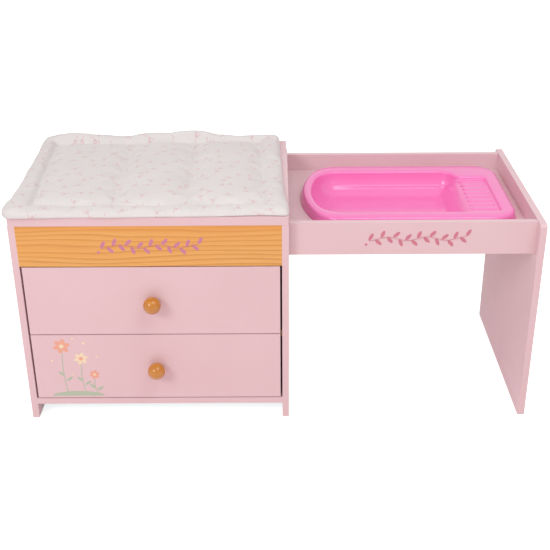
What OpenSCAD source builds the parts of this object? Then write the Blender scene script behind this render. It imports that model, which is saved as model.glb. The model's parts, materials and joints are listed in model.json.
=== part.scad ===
// Doll-size changing dresser with two drawers, a bath tray that slides in under
// the top, a moulded doll bath and a quilted changing mat.
// X runs to the right, Y to the back and Z up. Sub-parts are drawn from the
// cabinet's left outer face, front plane and the floor, and placed() then puts
// the origin under the middle of the whole object.

/* [Cabinet] */
// Width over the two side panels
cab_w = 480; // [440:1:540]
// Depth from the front edges to the back
cab_d = 392; // [370:1:430]
// Height of the side panels
side_h = 391; // [370:1:430]
// Thickness of the painted and pine boards
board_t = 12; // [10:0.5:14]
// Thickness of the two top boards
top_t = 16; // [12:0.5:20]
// Depth of the rear top board
rear_top_d = 72; // [50:1:90]
// How far the rear top board stays in from each side
rear_top_inset = 1.5; // [0.5:0.5:4]
// Joint line between the two top boards
top_joint = 0.6; // [0.3:0.1:1.5]
// Radius of the upright corners of the top boards
top_corner_r = 3; // [1:0.5:8]
// Height of the bottom board's underside above the floor
bottom_up = 31; // [20:1:40]
// Height of the pine board above the drawers
fascia_h = 76; // [74:1:90]
// Thickness of the back panel
back_t = 3; // [2:0.5:5]
// Depth of the batten under the rear top board
batten_d = 13; // [8:1:15]
// Height of the batten under the rear top board
batten_h = 20; // [12:1:30]

/* [Drawers] */
// Gap above, between and below the drawer fronts
front_gap = 1.8; // [1:0.1:3]
// Gap beside each drawer front
front_side_gap = 3.5; // [1:0.1:5]
// Gap between a drawer box and the side panel
box_gap = 4; // [2:0.5:6]
// Thickness of the drawer sides and back
box_t = 9; // [7:0.5:11]
// Length of the drawer sides behind the front
box_l = 350; // [300:1:352]
// Thickness of the drawer bottom
base_t = 4; // [3:0.5:5]
// Height of the drawer bottom above the lower edge of the sides
base_up = 8; // [5:1:12]
// Depth of the grooves that hold the drawer bottom
groove_d = 4; // [2:0.5:5]
// Width of the runner under the upper drawer
runner_w = 14; // [12:1:16]
// Height of the runner under the upper drawer
runner_h = 12; // [8:1:15]
// Gap between the lower drawer's box and the runner over it
box_head_gap = 10.6; // [6:0.1:20]

/* [Knobs] */
// Diameter of the ball of a knob
knob_d = 30; // [22:1:36]
// Distance of the ball's centre from the drawer front
knob_out = 18; // [16:0.5:22]
// Diameter of the neck behind the ball
neck_d = 14; // [10:0.5:18]
// Diameter of the seat that touches the drawer front
seat_d = 19; // [15:0.5:24]
// Thickness of the seat
seat_t = 2.5; // [1:0.5:4]
// Diameter of the knob screw
knob_screw_d = 4; // [3:0.5:5]
// Length of the knob screw under its head
knob_screw_l = 24; // [18:1:26]
// Diameter of the knob screw's head
knob_head_d = 9; // [7:0.5:11]
// Height of the knob screw's head
knob_head_h = 2.6; // [1.5:0.1:4]

/* [Bath tray] */
// Distance from the cabinet's right side to the outer face of the leg panel
tray_reach = 440; // [425:1:450]
// Length of the tray that stays inside the cabinet
tray_tail = 40; // [30:1:50]
// Distance of the front rail behind the cabinet's front plane
rail_inset = 17; // [15:0.5:20]
// Distance of the back rail from the cabinet's back plane
rail_back_inset = 19; // [17:0.5:24]
// Height of the tray rails
rail_h = 60; // [50:1:62]
// Distance from the top of the rails down to the tray floor
floor_drop = 32.5; // [28:0.5:34]
// Thickness of the tray floor
floor_t = 6; // [4:0.5:8]
// Width of the strips that carry the tray floor
ledge_w = 10; // [6:1:12]
// Height of the strips that carry the tray floor
ledge_h = 10; // [6:1:12]
// How far the leg panel's top lies below the top of the side panels
leg_drop = 2; // [0:0.5:6]
// Radius of the leg panel's upper corners
leg_top_r = 7; // [4:1:20]
// Radius of the leg panel's lower corners
leg_foot_r = 6; // [2:1:15]
// Height of the guides beside the tray rails
guide_h = 20; // [12:1:30]
// Length of the blocks that stop the tray when it is drawn out
stop_l = 15; // [8:1:20]
// Width of a stop block
stop_w = 20; // [10:1:25]
// Height of a stop block
stop_h = 18; // [10:1:20]

/* [Bath] */
// Distance of the bath's head end to the cabinet
tub_head_gap = 27.5; // [20:0.5:36]
// Distance of the bath to the leg panel
tub_end_gap = 18; // [14:1:20]
// Distance of the bath behind the front rail
tub_front_gap = 41.5; // [36:0.5:48]
// Distance of the bath from the back rail
tub_back_gap = 27.5; // [22:0.5:34]
// Height of the down-turned skirt
skirt_h = 19; // [15:0.5:24]
// Wall thickness of the bath
tub_t = 3; // [2:0.5:4]
// Radius of the rounded edge round the rim
tub_edge_r = 3.5; // [3:0.25:5]
// Straight part between the bath's two corners at the head end
tub_head_flat = 79; // [50:1:120]
// Radius of the two corners at the leg end
tub_corner_r = 45; // [36:1:55]
// Width of the rim at the head end
rim_head_w = 17; // [15:0.5:22]
// Width of the rim along the front
rim_front_w = 28; // [24:0.5:34]
// Width of the rim along the back
rim_back_w = 34; // [26:0.5:38]
// Width of the rim beyond the soap shelf
rim_foot_w = 26; // [20:0.5:30]
// Depth of the basin under the rim
basin_depth = 42; // [30:0.5:42.5]
// Straight part between the basin's two corners at the head end
basin_head_flat = 61; // [40:1:90]
// Radius between the basin's wall and its floor
basin_fillet_r = 22; // [12:1:26]
// Radius of the rolled edge between rim and basin
lip_r = 5; // [4:0.5:6]
// Slope of the basin's wall from upright
basin_draft = 9; // [5:0.5:12]
// Length of the ribbed soap shelf
shelf_l = 54; // [45:1:60]
// Distance of the soap shelf from the basin's back edge
shelf_back_gap = 31.5; // [24:0.5:38]
// Radius of the soap shelf's two outer corners
shelf_corner_r = 9; // [5:0.5:14]
// Depth of the soap shelf under the rim
shelf_drop = 7; // [5:0.5:9]
// Number of ribs on the soap shelf
shelf_ribs = 9; // [6:1:11]
// Width of a rib
rib_w = 7; // [4:0.5:9]
// Height of a rib
rib_h = 2; // [1:0.25:3]
// Gap between the outer ribs and the soap shelf's sides
rib_side_gap = 2.5; // [1:0.25:4]
// Gap between a rib's ends and the soap shelf's ends
rib_end_gap = 4; // [3:0.25:6]
// Slope of the wall under the soap shelf, from upright
foot_draft = 40; // [25:1:45]
// Radius between that wall and the basin's floor
foot_fillet_r = 30; // [27:1:34]

/* [Changing mat] */
// Length of the mat across the cabinet
mat_l = 486; // [470:1:500]
// Width of the mat from front to back
mat_w = 394; // [380:1:405]
// Height of the padded mat
mat_h = 18; // [14:0.5:24]
// How far the mat lies to the left of the top's middle
mat_left = 4; // [0:0.5:8]
// How far the mat lies to the front of the top's middle
mat_front = 4; // [0:0.5:8]
// How far the mat is turned on the top
mat_turn = 1; // [0:0.25:2]
// Radius of the mat's corners
mat_corner_r = 24; // [18:1:40]
// Height of the mat's side seam above its underside
mat_edge_up = 6; // [3:0.5:7]

/* [Fasteners] */
// Shank diameter of the board screws
screw_d = 5; // [4:0.25:5.5]
// Length of a board screw
screw_l = 44; // [32:1:50]
// Head diameter of a board screw
screw_head_d = 8.5; // [7:0.25:9.5]
// Head height of a board screw, sunk in the board
screw_head_h = 3; // [2:0.25:4]
// Shank diameter of the back panel's screws
pin_d = 3; // [2:0.25:3.5]
// Length of a back panel screw
pin_l = 18; // [12:1:22]
// Head diameter of a back panel screw
pin_head_d = 6.5; // [5:0.25:8]
// Head height of a back panel screw
pin_head_h = 1.2; // [0.8:0.1:1.5]
// Diameter of the dowels under the top boards
dowel_d = 6; // [5:0.25:6.5]
// Length of a dowel
dowel_l = 24; // [18:1:28]
// Depth of a dowel in the top board
dowel_up = 10; // [7:0.5:11]

/* [Fits] */
// Clearance of what slides on a runner, a board or a guide
run_clear = 0.5; // [0.3:0.1:0.8]
// Clearance of a screw, dowel or board in its hole or groove, on each side
fit_clear = 0.15; // [0.1:0.05:0.3]
// Clearance between the basin and the cut-out in the tray floor
tub_clear = 1; // [0.8:0.1:2]
// Clearance of the soft mat over the top boards
mat_clear = 0.3; // [0.3:0.1:1]

/* [Hidden] */
// What a cut runs past the face that it opens
overrun = 1;
// Sides of a full circle
$fn = 96;

// Heights in the cabinet
inner_w = cab_w - 2 * board_t;
body_d = cab_d - back_t;
bottom_top = bottom_up + board_t;
fascia_z = side_h - fascia_h;
divider_top = fascia_z + board_t;
front_h = (fascia_z - bottom_top - 3 * front_gap) / 2;
lower_z = bottom_top + front_gap;
upper_z = lower_z + front_h + front_gap;
box_h = front_h + front_gap - runner_h - box_head_gap - run_clear;
top_z = side_h + top_t;

// Places of the tray
right_face = cab_w;
leg_x1 = right_face + tray_reach;
leg_x0 = leg_x1 - board_t;
leg_h = side_h - leg_drop;
tray_x0 = right_face - tray_tail;
front_rail_y = rail_inset;
back_rail_y = cab_d - rail_back_inset - board_t;
rail_z = divider_top + run_clear;
rail_top = rail_z + rail_h;
floor_top = rail_top - floor_drop;
floor_z = floor_top - floor_t;
well_y0 = front_rail_y + board_t;
well_y1 = back_rail_y;
well_x0 = tray_x0 + board_t;
notch_margin = board_t / 4;
notch_y0 = front_rail_y - notch_margin;
notch_y1 = back_rail_y + board_t + notch_margin;
stop_margin = board_t / 4;

// Places of the bath
rim_z = floor_top + skirt_h;
tub_x0 = right_face + tub_head_gap;
tub_x1 = leg_x0 - tub_end_gap;
tub_y0 = well_y0 + tub_front_gap;
tub_y1 = well_y1 - tub_back_gap;
tub_w = tub_y1 - tub_y0;
tub_head_r = (tub_w - tub_head_flat) / 2;
basin_y0 = tub_y0 + rim_front_w;
basin_y1 = tub_y1 - rim_back_w;
basin_half = (basin_y1 - basin_y0) / 2;
basin_y = (basin_y0 + basin_y1) / 2;
basin_head_r = basin_half - basin_head_flat / 2;
basin_x0 = tub_x0 + rim_head_w;
basin_head_x = basin_x0 + basin_head_r;
basin_z = rim_z - basin_depth;
shelf_x1 = tub_x1 - rim_foot_w;
shelf_x0 = shelf_x1 - shelf_l;
shelf_z = rim_z - shelf_drop;
shelf_y0 = basin_y0 + lip_r / 2;
shelf_y1 = basin_y1 - shelf_back_gap;

// Places of the screws and dowels, as shares of the boards that they hold
row_shares = [0.15, 0.84];
rail_screw_shares = [0.3, 0.72];
back_screw_shares = [0.06, 0.5, 0.94];
fascia_dowel_shares = [0.25, 0.5, 0.75];
main_dowel_shares = [0.2, 0.8];
fascia_y = board_t / 2;
fascia_screw_z = fascia_z + fascia_h / 2;
batten_y = body_d - batten_d / 2;
rear_top_y = cab_d - rear_top_d;
main_top_d = rear_top_y - top_joint;

// The origin lies under the middle of the whole object
knob_reach = knob_out + knob_d / 2;
mat_x = cab_w / 2 - mat_left;
mat_y = cab_d / 2 - mat_front;
mat_reach = (mat_l * cos(mat_turn) + mat_w * sin(mat_turn)) / 2;
origin_x = (leg_x1 + mat_x - mat_reach) / 2;
origin_y = (cab_d - knob_reach) / 2;

PAINT = "#e1c3c9";
PINE = "#e8af5f";
PLY = "#ddb57c";
STEEL = "#b9bcc0";
KNOB = "#e19b46";
BATH = "#ff78be";
QUILT = "#e6e1df";

// Puts a sub-part into the object's frame
module placed() {
    translate([-origin_x, -origin_y, 0])
        children();
}

// A board between two corners
module board(x0, x1, y0, y1, z0, z1) {
    translate([x0, y0, z0])
        cube([x1 - x0, y1 - y0, z1 - z0]);
}

// Lays a rod's +Z along +X, -X, +Y or -Y
module to_right() {
    rotate([0, 90, 0])
        children();
}
module to_left() {
    rotate([0, -90, 0])
        children();
}
module to_back() {
    rotate([-90, 0, 0])
        children();
}
module to_front() {
    rotate([90, 0, 0])
        children();
}

// A sunk screw with its head at the origin and its shank along +Z
module screw(d, l, head_d, head_h) {
    cylinder(d = head_d, h = head_h);
    translate([0, 0, head_h])
        cylinder(d = d, h = l - head_h);
}
module board_screw() {
    screw(screw_d, screw_l, screw_head_d, screw_head_h);
}
module panel_screw() {
    screw(pin_d, pin_l, pin_head_d, pin_head_h);
}

// The hole for such a screw, open at the face that it enters
module screw_hole(d, l, head_d, head_h) {
    translate([0, 0, -overrun])
        cylinder(d = head_d + 2 * fit_clear, h = head_h + overrun);
    cylinder(d = d + 2 * fit_clear, h = l + fit_clear);
}
module board_screw_hole() {
    screw_hole(screw_d, screw_l, screw_head_d, screw_head_h);
}
module panel_screw_hole() {
    screw_hole(pin_d, pin_l, pin_head_d, pin_head_h);
}

// Places of the screws through a side panel, as [depth, height]
function side_screw_places() = [
    for (share = row_shares) [share * body_d, bottom_up + board_t / 2],
    for (share = row_shares) [share * body_d, fascia_z + board_t / 2],
    [fascia_y, fascia_screw_z]
];
module at_side_screws() {
    for (place = side_screw_places()) {
        translate([0, place[0], place[1]])
            to_right()
                children();
        translate([right_face, place[0], place[1]])
            to_left()
                children();
    }
}

// Places of the dowels under the main and the rear top board, as [across, depth]
function main_dowel_places() = [
    for (share = main_dowel_shares) [board_t / 2, share * main_top_d],
    [cab_w - board_t / 2, notch_y0 / 2],
    for (share = fascia_dowel_shares) [share * cab_w, fascia_y]
];
function rear_dowel_places() = [
    [board_t / 2, rear_top_y + rear_top_d / 2],
    [cab_w - board_t / 2, (notch_y1 + cab_d) / 2],
    for (share = row_shares) [share * cab_w, batten_y]
];
module at_dowels() {
    for (place = concat(main_dowel_places(), rear_dowel_places()))
        translate([place[0], place[1], side_h + dowel_up - dowel_l])
            children();
}
module dowel_holes() {
    at_dowels()
        translate([0, 0, -fit_clear])
            cylinder(d = dowel_d + 2 * fit_clear, h = dowel_l + 2 * fit_clear);
}

// Places of the back panel's screws, as [across, height]
function back_screw_places() = [
    for (share = back_screw_shares)
        for (z = [bottom_up + board_t / 2, fascia_z + board_t / 2, side_h - batten_h / 2])
            [board_t + share * inner_w, z]
];
module at_back_screws() {
    for (place = back_screw_places())
        translate([place[0], cab_d, place[1]])
            to_front()
                children();
}

// Places of the screws through the leg panel and the two rails
module at_tray_screws() {
    for (share = rail_screw_shares) {
        z = rail_z + share * rail_h;
        for (y = [front_rail_y + board_t / 2, back_rail_y + board_t / 2])
            translate([leg_x1, y, z])
                to_left()
                    children();
        translate([tray_x0 + board_t / 2, front_rail_y, z])
            to_back()
                children();
        translate([tray_x0 + board_t / 2, back_rail_y + board_t, z])
            to_front()
                children();
    }
}

// Cabinet
module left_side_panel() {
    color(PAINT)
        placed()
            difference() {
                board(0, board_t, 0, cab_d, 0, side_h);
                at_side_screws()
                    board_screw_hole();
                dowel_holes();
            }
}
module right_side_panel() {
    color(PAINT)
        placed()
            difference() {
                board(cab_w - board_t, cab_w, 0, cab_d, 0, side_h);
                board(cab_w - board_t - overrun, cab_w + overrun, notch_y0,
                    notch_y1, divider_top, side_h + overrun);
                at_side_screws()
                    board_screw_hole();
                dowel_holes();
            }
}
module back_panel() {
    color(PLY)
        placed()
            difference() {
                board(board_t, cab_w - board_t, body_d, cab_d, bottom_up, side_h);
                at_back_screws()
                    panel_screw_hole();
            }
}
module bottom_board() {
    color(PAINT)
        placed()
            difference() {
                board(board_t, cab_w - board_t, 0, body_d, bottom_up, bottom_top);
                at_side_screws()
                    board_screw_hole();
                at_back_screws()
                    panel_screw_hole();
            }
}
module divider_board() {
    color(PLY)
        placed()
            difference() {
                board(board_t, cab_w - board_t, board_t, body_d, fascia_z, divider_top);
                at_side_screws()
                    board_screw_hole();
                at_back_screws()
                    panel_screw_hole();
            }
}
module pine_fascia() {
    color(PINE)
        placed()
            difference() {
                board(board_t, cab_w - board_t, 0, board_t, fascia_z, side_h);
                at_side_screws()
                    board_screw_hole();
                dowel_holes();
            }
}

// A top board with rounded upright corners
module top_plank(x0, x1, y0, y1) {
    r = top_corner_r;
    translate([0, 0, side_h])
        linear_extrude(height = top_t)
            union() {
                translate([x0 + r, y0])
                    square([x1 - x0 - 2 * r, y1 - y0]);
                translate([x0, y0 + r])
                    square([x1 - x0, y1 - y0 - 2 * r]);
                for (x = [x0 + r, x1 - r])
                    for (y = [y0 + r, y1 - r])
                        translate([x, y])
                            circle(r = r);
            }
}
module top_board() {
    color(PAINT)
        placed()
            difference() {
                top_plank(0, cab_w, 0, main_top_d);
                dowel_holes();
            }
}
module top_rear_board() {
    color(PAINT)
        placed()
            difference() {
                top_plank(rear_top_inset, cab_w - rear_top_inset, rear_top_y, cab_d);
                dowel_holes();
            }
}
module rear_batten() {
    color(PLY)
        placed()
            difference() {
                board(board_t, cab_w - board_t, body_d - batten_d, body_d,
                    side_h - batten_h, side_h);
                at_back_screws()
                    panel_screw_hole();
                dowel_holes();
            }
}

// The strips that the upper drawer runs on
module runner(x) {
    color(PLY)
        placed()
            board(x, x + runner_w, board_t + front_gap, body_d,
                upper_z - front_gap - runner_h, upper_z - front_gap);
}
module left_drawer_runner() {
    runner(board_t);
}
module right_drawer_runner() {
    runner(cab_w - board_t - runner_w);
}

// The strips beside the tray's rails, fixed on the divider board
module tray_guides() {
    color(PLY)
        placed() {
            board(board_t, cab_w - board_t, board_t, front_rail_y - run_clear,
                divider_top, divider_top + guide_h);
            board(board_t, cab_w - board_t, back_rail_y + board_t + run_clear,
                body_d, divider_top, divider_top + guide_h);
        }
}
module tray_stops() {
    x1 = cab_w - board_t;
    color(PLY)
        placed()
            for (y = [well_y0 + ledge_w + stop_margin,
                      well_y1 - ledge_w - stop_margin - stop_w])
                board(x1 - stop_l, x1, y, y + stop_w, divider_top,
                    divider_top + stop_h);
}
module top_dowels() {
    color(PINE)
        placed()
            at_dowels()
                cylinder(d = dowel_d, h = dowel_l);
}
module cabinet_screws() {
    color(STEEL)
        placed()
            at_side_screws()
                board_screw();
}
module back_panel_screws() {
    color(STEEL)
        placed()
            at_back_screws()
                panel_screw();
}

// Drawers. z is the lower edge of the drawer's front.
function box_z(z) = z - front_gap + run_clear;
box_x0 = board_t + box_gap;
box_x1 = cab_w - board_t - box_gap;
box_y1 = board_t + box_l;

// The ply bottom, or the grooves that hold it when it is grown by a clearance
module drawer_base(z, clear) {
    z0 = box_z(z) + base_up;
    board(box_x0 + box_t - groove_d, box_x1 - box_t + groove_d,
        board_t - groove_d, box_y1 + clear, z0 - clear, z0 + base_t + clear);
}
module knob_place(z) {
    translate([cab_w / 2, 0, z + front_h / 2])
        children();
}
module drawer_front(z) {
    color(PAINT)
        placed()
            difference() {
                board(board_t + front_side_gap, cab_w - board_t - front_side_gap,
                    0, board_t, z, z + front_h);
                drawer_base(z, fit_clear);
                knob_place(z)
                    translate([0, -overrun, 0])
                        to_back()
                            cylinder(d = knob_screw_d + 2 * fit_clear,
                                h = board_t + 2 * overrun);
            }
}
module drawer_side(x, z) {
    color(PLY)
        placed()
            difference() {
                board(x, x + box_t, board_t, box_y1, box_z(z), box_z(z) + box_h);
                drawer_base(z, fit_clear);
            }
}
module drawer_back(z) {
    color(PLY)
        placed()
            board(box_x0 + box_t, box_x1 - box_t, box_y1 - box_t, box_y1,
                box_z(z) + base_up + base_t, box_z(z) + box_h);
}
module drawer_bottom(z) {
    color(PLY)
        placed()
            drawer_base(z, 0);
}
module knob(z) {
    color(KNOB)
        placed()
            knob_place(z)
                to_front()
                    difference() {
                        union() {
                            cylinder(d = seat_d, h = seat_t);
                            cylinder(d = neck_d, h = knob_out);
                            translate([0, 0, knob_out])
                                sphere(d = knob_d);
                        }
                        translate([0, 0, -overrun])
                            cylinder(d = knob_screw_d + 2 * fit_clear,
                                h = knob_screw_l - board_t + fit_clear + overrun);
                    }
}
module knob_screw(z) {
    color(STEEL)
        placed()
            knob_place(z)
                translate([0, board_t + knob_head_h, 0])
                    to_front()
                        screw(knob_screw_d, knob_screw_l + knob_head_h, knob_head_d,
                            knob_head_h);
}
module upper_drawer_front() {
    drawer_front(upper_z);
}
module upper_drawer_left_side() {
    drawer_side(box_x0, upper_z);
}
module upper_drawer_right_side() {
    drawer_side(box_x1 - box_t, upper_z);
}
module upper_drawer_back() {
    drawer_back(upper_z);
}
module upper_drawer_bottom() {
    drawer_bottom(upper_z);
}
module upper_knob() {
    knob(upper_z);
}
module upper_knob_screw() {
    knob_screw(upper_z);
}
module lower_drawer_front() {
    drawer_front(lower_z);
}
module lower_drawer_left_side() {
    drawer_side(box_x0, lower_z);
}
module lower_drawer_right_side() {
    drawer_side(box_x1 - box_t, lower_z);
}
module lower_drawer_back() {
    drawer_back(lower_z);
}
module lower_drawer_bottom() {
    drawer_bottom(lower_z);
}
module lower_knob() {
    knob(lower_z);
}
module lower_knob_screw() {
    knob_screw(lower_z);
}

// Bath tray
module tray_rail(y) {
    color(PAINT)
        placed()
            difference() {
                board(tray_x0, leg_x0, y, y + board_t, rail_z, rail_top);
                at_tray_screws()
                    board_screw_hole();
            }
}
module tray_front_rail() {
    tray_rail(front_rail_y);
}
module tray_back_rail() {
    tray_rail(back_rail_y);
}
module tray_end_rail() {
    color(PAINT)
        placed()
            difference() {
                board(tray_x0, well_x0, well_y0, well_y1, rail_z, rail_top);
                at_tray_screws()
                    board_screw_hole();
            }
}
module tray_floor() {
    color(PAINT)
        placed()
            difference() {
                board(well_x0, leg_x0, well_y0, well_y1, floor_z, floor_top);
                translate([0, 0, floor_z - overrun])
                    linear_extrude(height = floor_t + 2 * overrun)
                        basin_plan(tub_t + tub_clear);
            }
}
module tray_floor_ledges() {
    color(PLY)
        placed()
            for (y = [well_y0, well_y1 - ledge_w])
                board(well_x0, leg_x0, y, y + ledge_w, floor_z - ledge_h, floor_z);
}
module tray_screws() {
    color(STEEL)
        placed()
            at_tray_screws()
                board_screw();
}

// The leg panel, drawn as [depth, height] and stood up across the tray's end
module leg_outline() {
    ft = leg_top_r;
    fb = leg_foot_r;
    translate([0, fb])
        square([cab_d, leg_h - ft - fb]);
    translate([ft, leg_h - 2 * ft])
        square([cab_d - 2 * ft, 2 * ft]);
    translate([fb, 0])
        square([cab_d - 2 * fb, 2 * fb]);
    for (y = [ft, cab_d - ft])
        translate([y, leg_h - ft])
            circle(r = ft);
    for (y = [fb, cab_d - fb])
        translate([y, fb])
            circle(r = fb);
}
module leg_panel() {
    color(PAINT)
        placed()
            difference() {
                translate([leg_x0, 0, 0])
                    rotate([90, 0, 90])
                        linear_extrude(height = board_t)
                            leg_outline();
                at_tray_screws()
                    board_screw_hole();
            }
}

// Bath. One section of the rim, drawn inward from the outer edge at x = 0, is
// turned round the four corners and drawn along the sides.
module rim_section(reach) {
    r = tub_edge_r;
    difference() {
        union() {
            translate([-tub_t, 0])
                square([tub_t, skirt_h - r]);
            translate([-r, skirt_h - r])
                circle(r = r);
            translate([-r, skirt_h - tub_t])
                square([r - tub_t / 2, tub_t / 2]);
            translate([-reach, skirt_h - tub_t])
                square([reach - r, tub_t]);
            translate([-tub_t - r / 2, skirt_h - tub_t - r / 2])
                square([tub_t, tub_t]);
        }
        translate([-reach, -overrun])
            square([reach - tub_t - r / 2, skirt_h - tub_t - r / 2 + overrun]);
    }
}
module turned_rim(angle, radius, reach) {
    rotate_extrude(angle = angle)
        intersection() {
            translate([radius, 0])
                rim_section(reach);
            square([radius, skirt_h]);
        }
}
module rim_shell() {
    rc = tub_corner_r;
    rh = tub_head_r;
    hx = tub_x0 + rh;
    fx = tub_x1 - rc;
    translate([0, 0, floor_top]) {
        for (side = [0, 1])
            translate([0, side == 0 ? tub_y0 : tub_y1, 0])
                mirror([0, side, 0]) {
                    translate([hx, 0, 0])
                        rotate([90, 0, 90])
                            linear_extrude(height = fx - hx)
                                mirror([1, 0])
                                    rim_section(rc);
                    translate([hx, rh, 0])
                        rotate([0, 0, 180])
                            turned_rim(90, rh, rc);
                    translate([fx, rc, 0])
                        rotate([0, 0, -90])
                            turned_rim(90, rc, rc);
                }
        translate([tub_x1, tub_y1 - rc, 0])
            rotate([90, 0, 0])
                linear_extrude(height = tub_w - 2 * rc)
                    rim_section(rc);
        translate([tub_x0, tub_y1 - rh, 0])
            rotate([90, 0, 0])
                linear_extrude(height = tub_w - 2 * rh)
                    mirror([1, 0])
                        rim_section(rc);
        translate([0, 0, skirt_h - tub_t])
            linear_extrude(height = tub_t) {
                translate([hx, tub_y0 + rc / 2])
                    square([tub_x1 - rc / 2 - hx, tub_w - rc]);
                translate([tub_x0 + rc / 2, tub_y0 + rh])
                    square([rh, tub_w - 2 * rh]);
                for (y = [tub_y0 + rh, tub_y1 - rh])
                    translate([hx, y])
                        circle(r = rh - rc / 2);
            }
    }
}

// Plan of the basin at the rim, grown by a distance
module basin_plan(grow) {
    rh = basin_head_r;
    half = basin_half + grow;
    translate([basin_head_x, basin_y - half])
        square([shelf_x0 + grow - basin_head_x, 2 * half]);
    translate([basin_x0 - grow, basin_y0 + rh])
        square([rh + grow, 2 * (basin_half - rh)]);
    for (y = [basin_y0 + rh, basin_y1 - rh])
        translate([basin_head_x, y])
            circle(r = rh + grow);
}

// Half section of the basin from its middle to its wall, which slopes and
// meets the floor in a fillet. wall is 0 inside, where the section runs past
// the rim, and the thickness outside.
module basin_section(reach, wall) {
    r = basin_fillet_r + wall;
    rise = basin_depth + wall;
    half = reach + wall;
    slope = tan(basin_draft);
    centre_x = half - slope * (rise - r) - r / cos(basin_draft);
    foot_x = centre_x + r * cos(basin_draft);
    foot_y = r - r * sin(basin_draft);
    over = wall == 0 ? overrun : 0;
    translate([0, -wall]) {
        polygon([
            [0, 0], [centre_x, 0], [centre_x, r], [foot_x, foot_y],
            [half + slope * over, rise + over], [0, rise + over]
        ]);
        intersection() {
            translate([centre_x, r])
                circle(r = r);
            translate([centre_x, 0])
                square([r, r]);
        }
    }
}

// The end wall under the soap shelf, drawn as [along the bath, height]
module foot_section(wall) {
    r = foot_fillet_r + wall;
    rise = basin_depth - shelf_drop + wall;
    x1 = shelf_x0 + wall;
    slope = tan(foot_draft);
    centre_x = x1 - slope * (rise - r) - r / cos(foot_draft);
    foot_x = centre_x + r * cos(foot_draft);
    foot_y = r - r * sin(foot_draft);
    top_y = basin_depth + wall + 2 * overrun;
    translate([0, -wall]) {
        polygon([
            [tub_x0, -overrun], [centre_x, -overrun], [centre_x, 0], [centre_x, r],
            [foot_x, foot_y], [x1, rise], [x1, top_y], [tub_x0, top_y]
        ]);
        intersection() {
            translate([centre_x, r])
                circle(r = r);
            translate([centre_x, 0])
                square([r, r]);
        }
    }
}
module basin_body(wall) {
    rh = basin_head_r;
    half = basin_half + lip_r + wall;
    translate([0, 0, basin_z])
        intersection() {
            union() {
                for (side = [0, 1])
                    translate([basin_head_x, basin_y, 0])
                        mirror([0, side, 0]) {
                            rotate([90, 0, 90])
                                linear_extrude(height = shelf_x0 + wall - basin_head_x + overrun)
                                    basin_section(basin_half, wall);
                            translate([0, basin_half - rh, 0])
                                rotate([0, 0, 90])
                                    rotate_extrude(angle = 90)
                                        basin_section(rh, wall);
                        }
                translate([basin_head_x, basin_y1 - rh, 0])
                    rotate([90, 0, 0])
                        linear_extrude(height = 2 * (basin_half - rh))
                            mirror([1, 0])
                                basin_section(rh, wall);
            }
            translate([0, basin_y + half, 0])
                rotate([90, 0, 0])
                    linear_extrude(height = 2 * half)
                        foot_section(wall);
        }
}

// The rolled edge where the rim turns down into the basin
module lip_section(reach) {
    inset = lip_r * (1 - tan(basin_draft));
    translate([reach, 0])
        difference() {
            translate([-lip_r, -inset])
                square([lip_r + inset, inset + overrun]);
            translate([inset, -lip_r])
                circle(r = lip_r);
        }
}
module basin_lip() {
    rh = basin_head_r;
    translate([0, 0, rim_z]) {
        for (side = [0, 1])
            translate([basin_head_x, basin_y, 0])
                mirror([0, side, 0]) {
                    rotate([90, 0, 90])
                        linear_extrude(height = shelf_x0 - basin_head_x)
                            lip_section(basin_half);
                    translate([0, basin_half - rh, 0])
                        rotate([0, 0, 90])
                            rotate_extrude(angle = 90)
                                lip_section(rh);
                }
        translate([basin_head_x, basin_y1 - rh, 0])
            rotate([90, 0, 0])
                linear_extrude(height = 2 * (basin_half - rh))
                    mirror([1, 0])
                        lip_section(rh);
    }
}
module shelf_pocket(wall) {
    r = shelf_corner_r + wall;
    x0 = shelf_x0 - wall;
    x1 = shelf_x1 + wall;
    y0 = shelf_y0 - wall;
    y1 = shelf_y1 + wall;
    translate([0, 0, shelf_z - wall])
        linear_extrude(height = shelf_drop + overrun) {
            translate([x0, y0])
                square([x1 - r - x0, y1 - y0]);
            translate([x1 - 2 * r, y0 + r])
                square([2 * r, y1 - y0 - 2 * r]);
            for (y = [y0 + r, y1 - r])
                translate([x1 - r, y])
                    circle(r = r);
        }
}
module bath_tub() {
    first = shelf_y0 + rib_side_gap;
    pitch = (shelf_y1 - rib_side_gap - rib_w - first) / (shelf_ribs - 1);
    color(BATH)
        placed() {
            difference() {
                union() {
                    rim_shell();
                    basin_body(tub_t);
                    intersection() {
                        shelf_pocket(tub_t);
                        board(shelf_x0, shelf_x1 + tub_t, tub_y0, tub_y1, basin_z, rim_z);
                    }
                }
                basin_body(0);
                basin_lip();
                shelf_pocket(0);
            }
            for (i = [0 : shelf_ribs - 1])
                board(shelf_x0 + rib_end_gap, shelf_x1 - rib_end_gap,
                    first + i * pitch, first + i * pitch + rib_w,
                    shelf_z - tub_t / 2, shelf_z + rib_h);
        }
}

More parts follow.
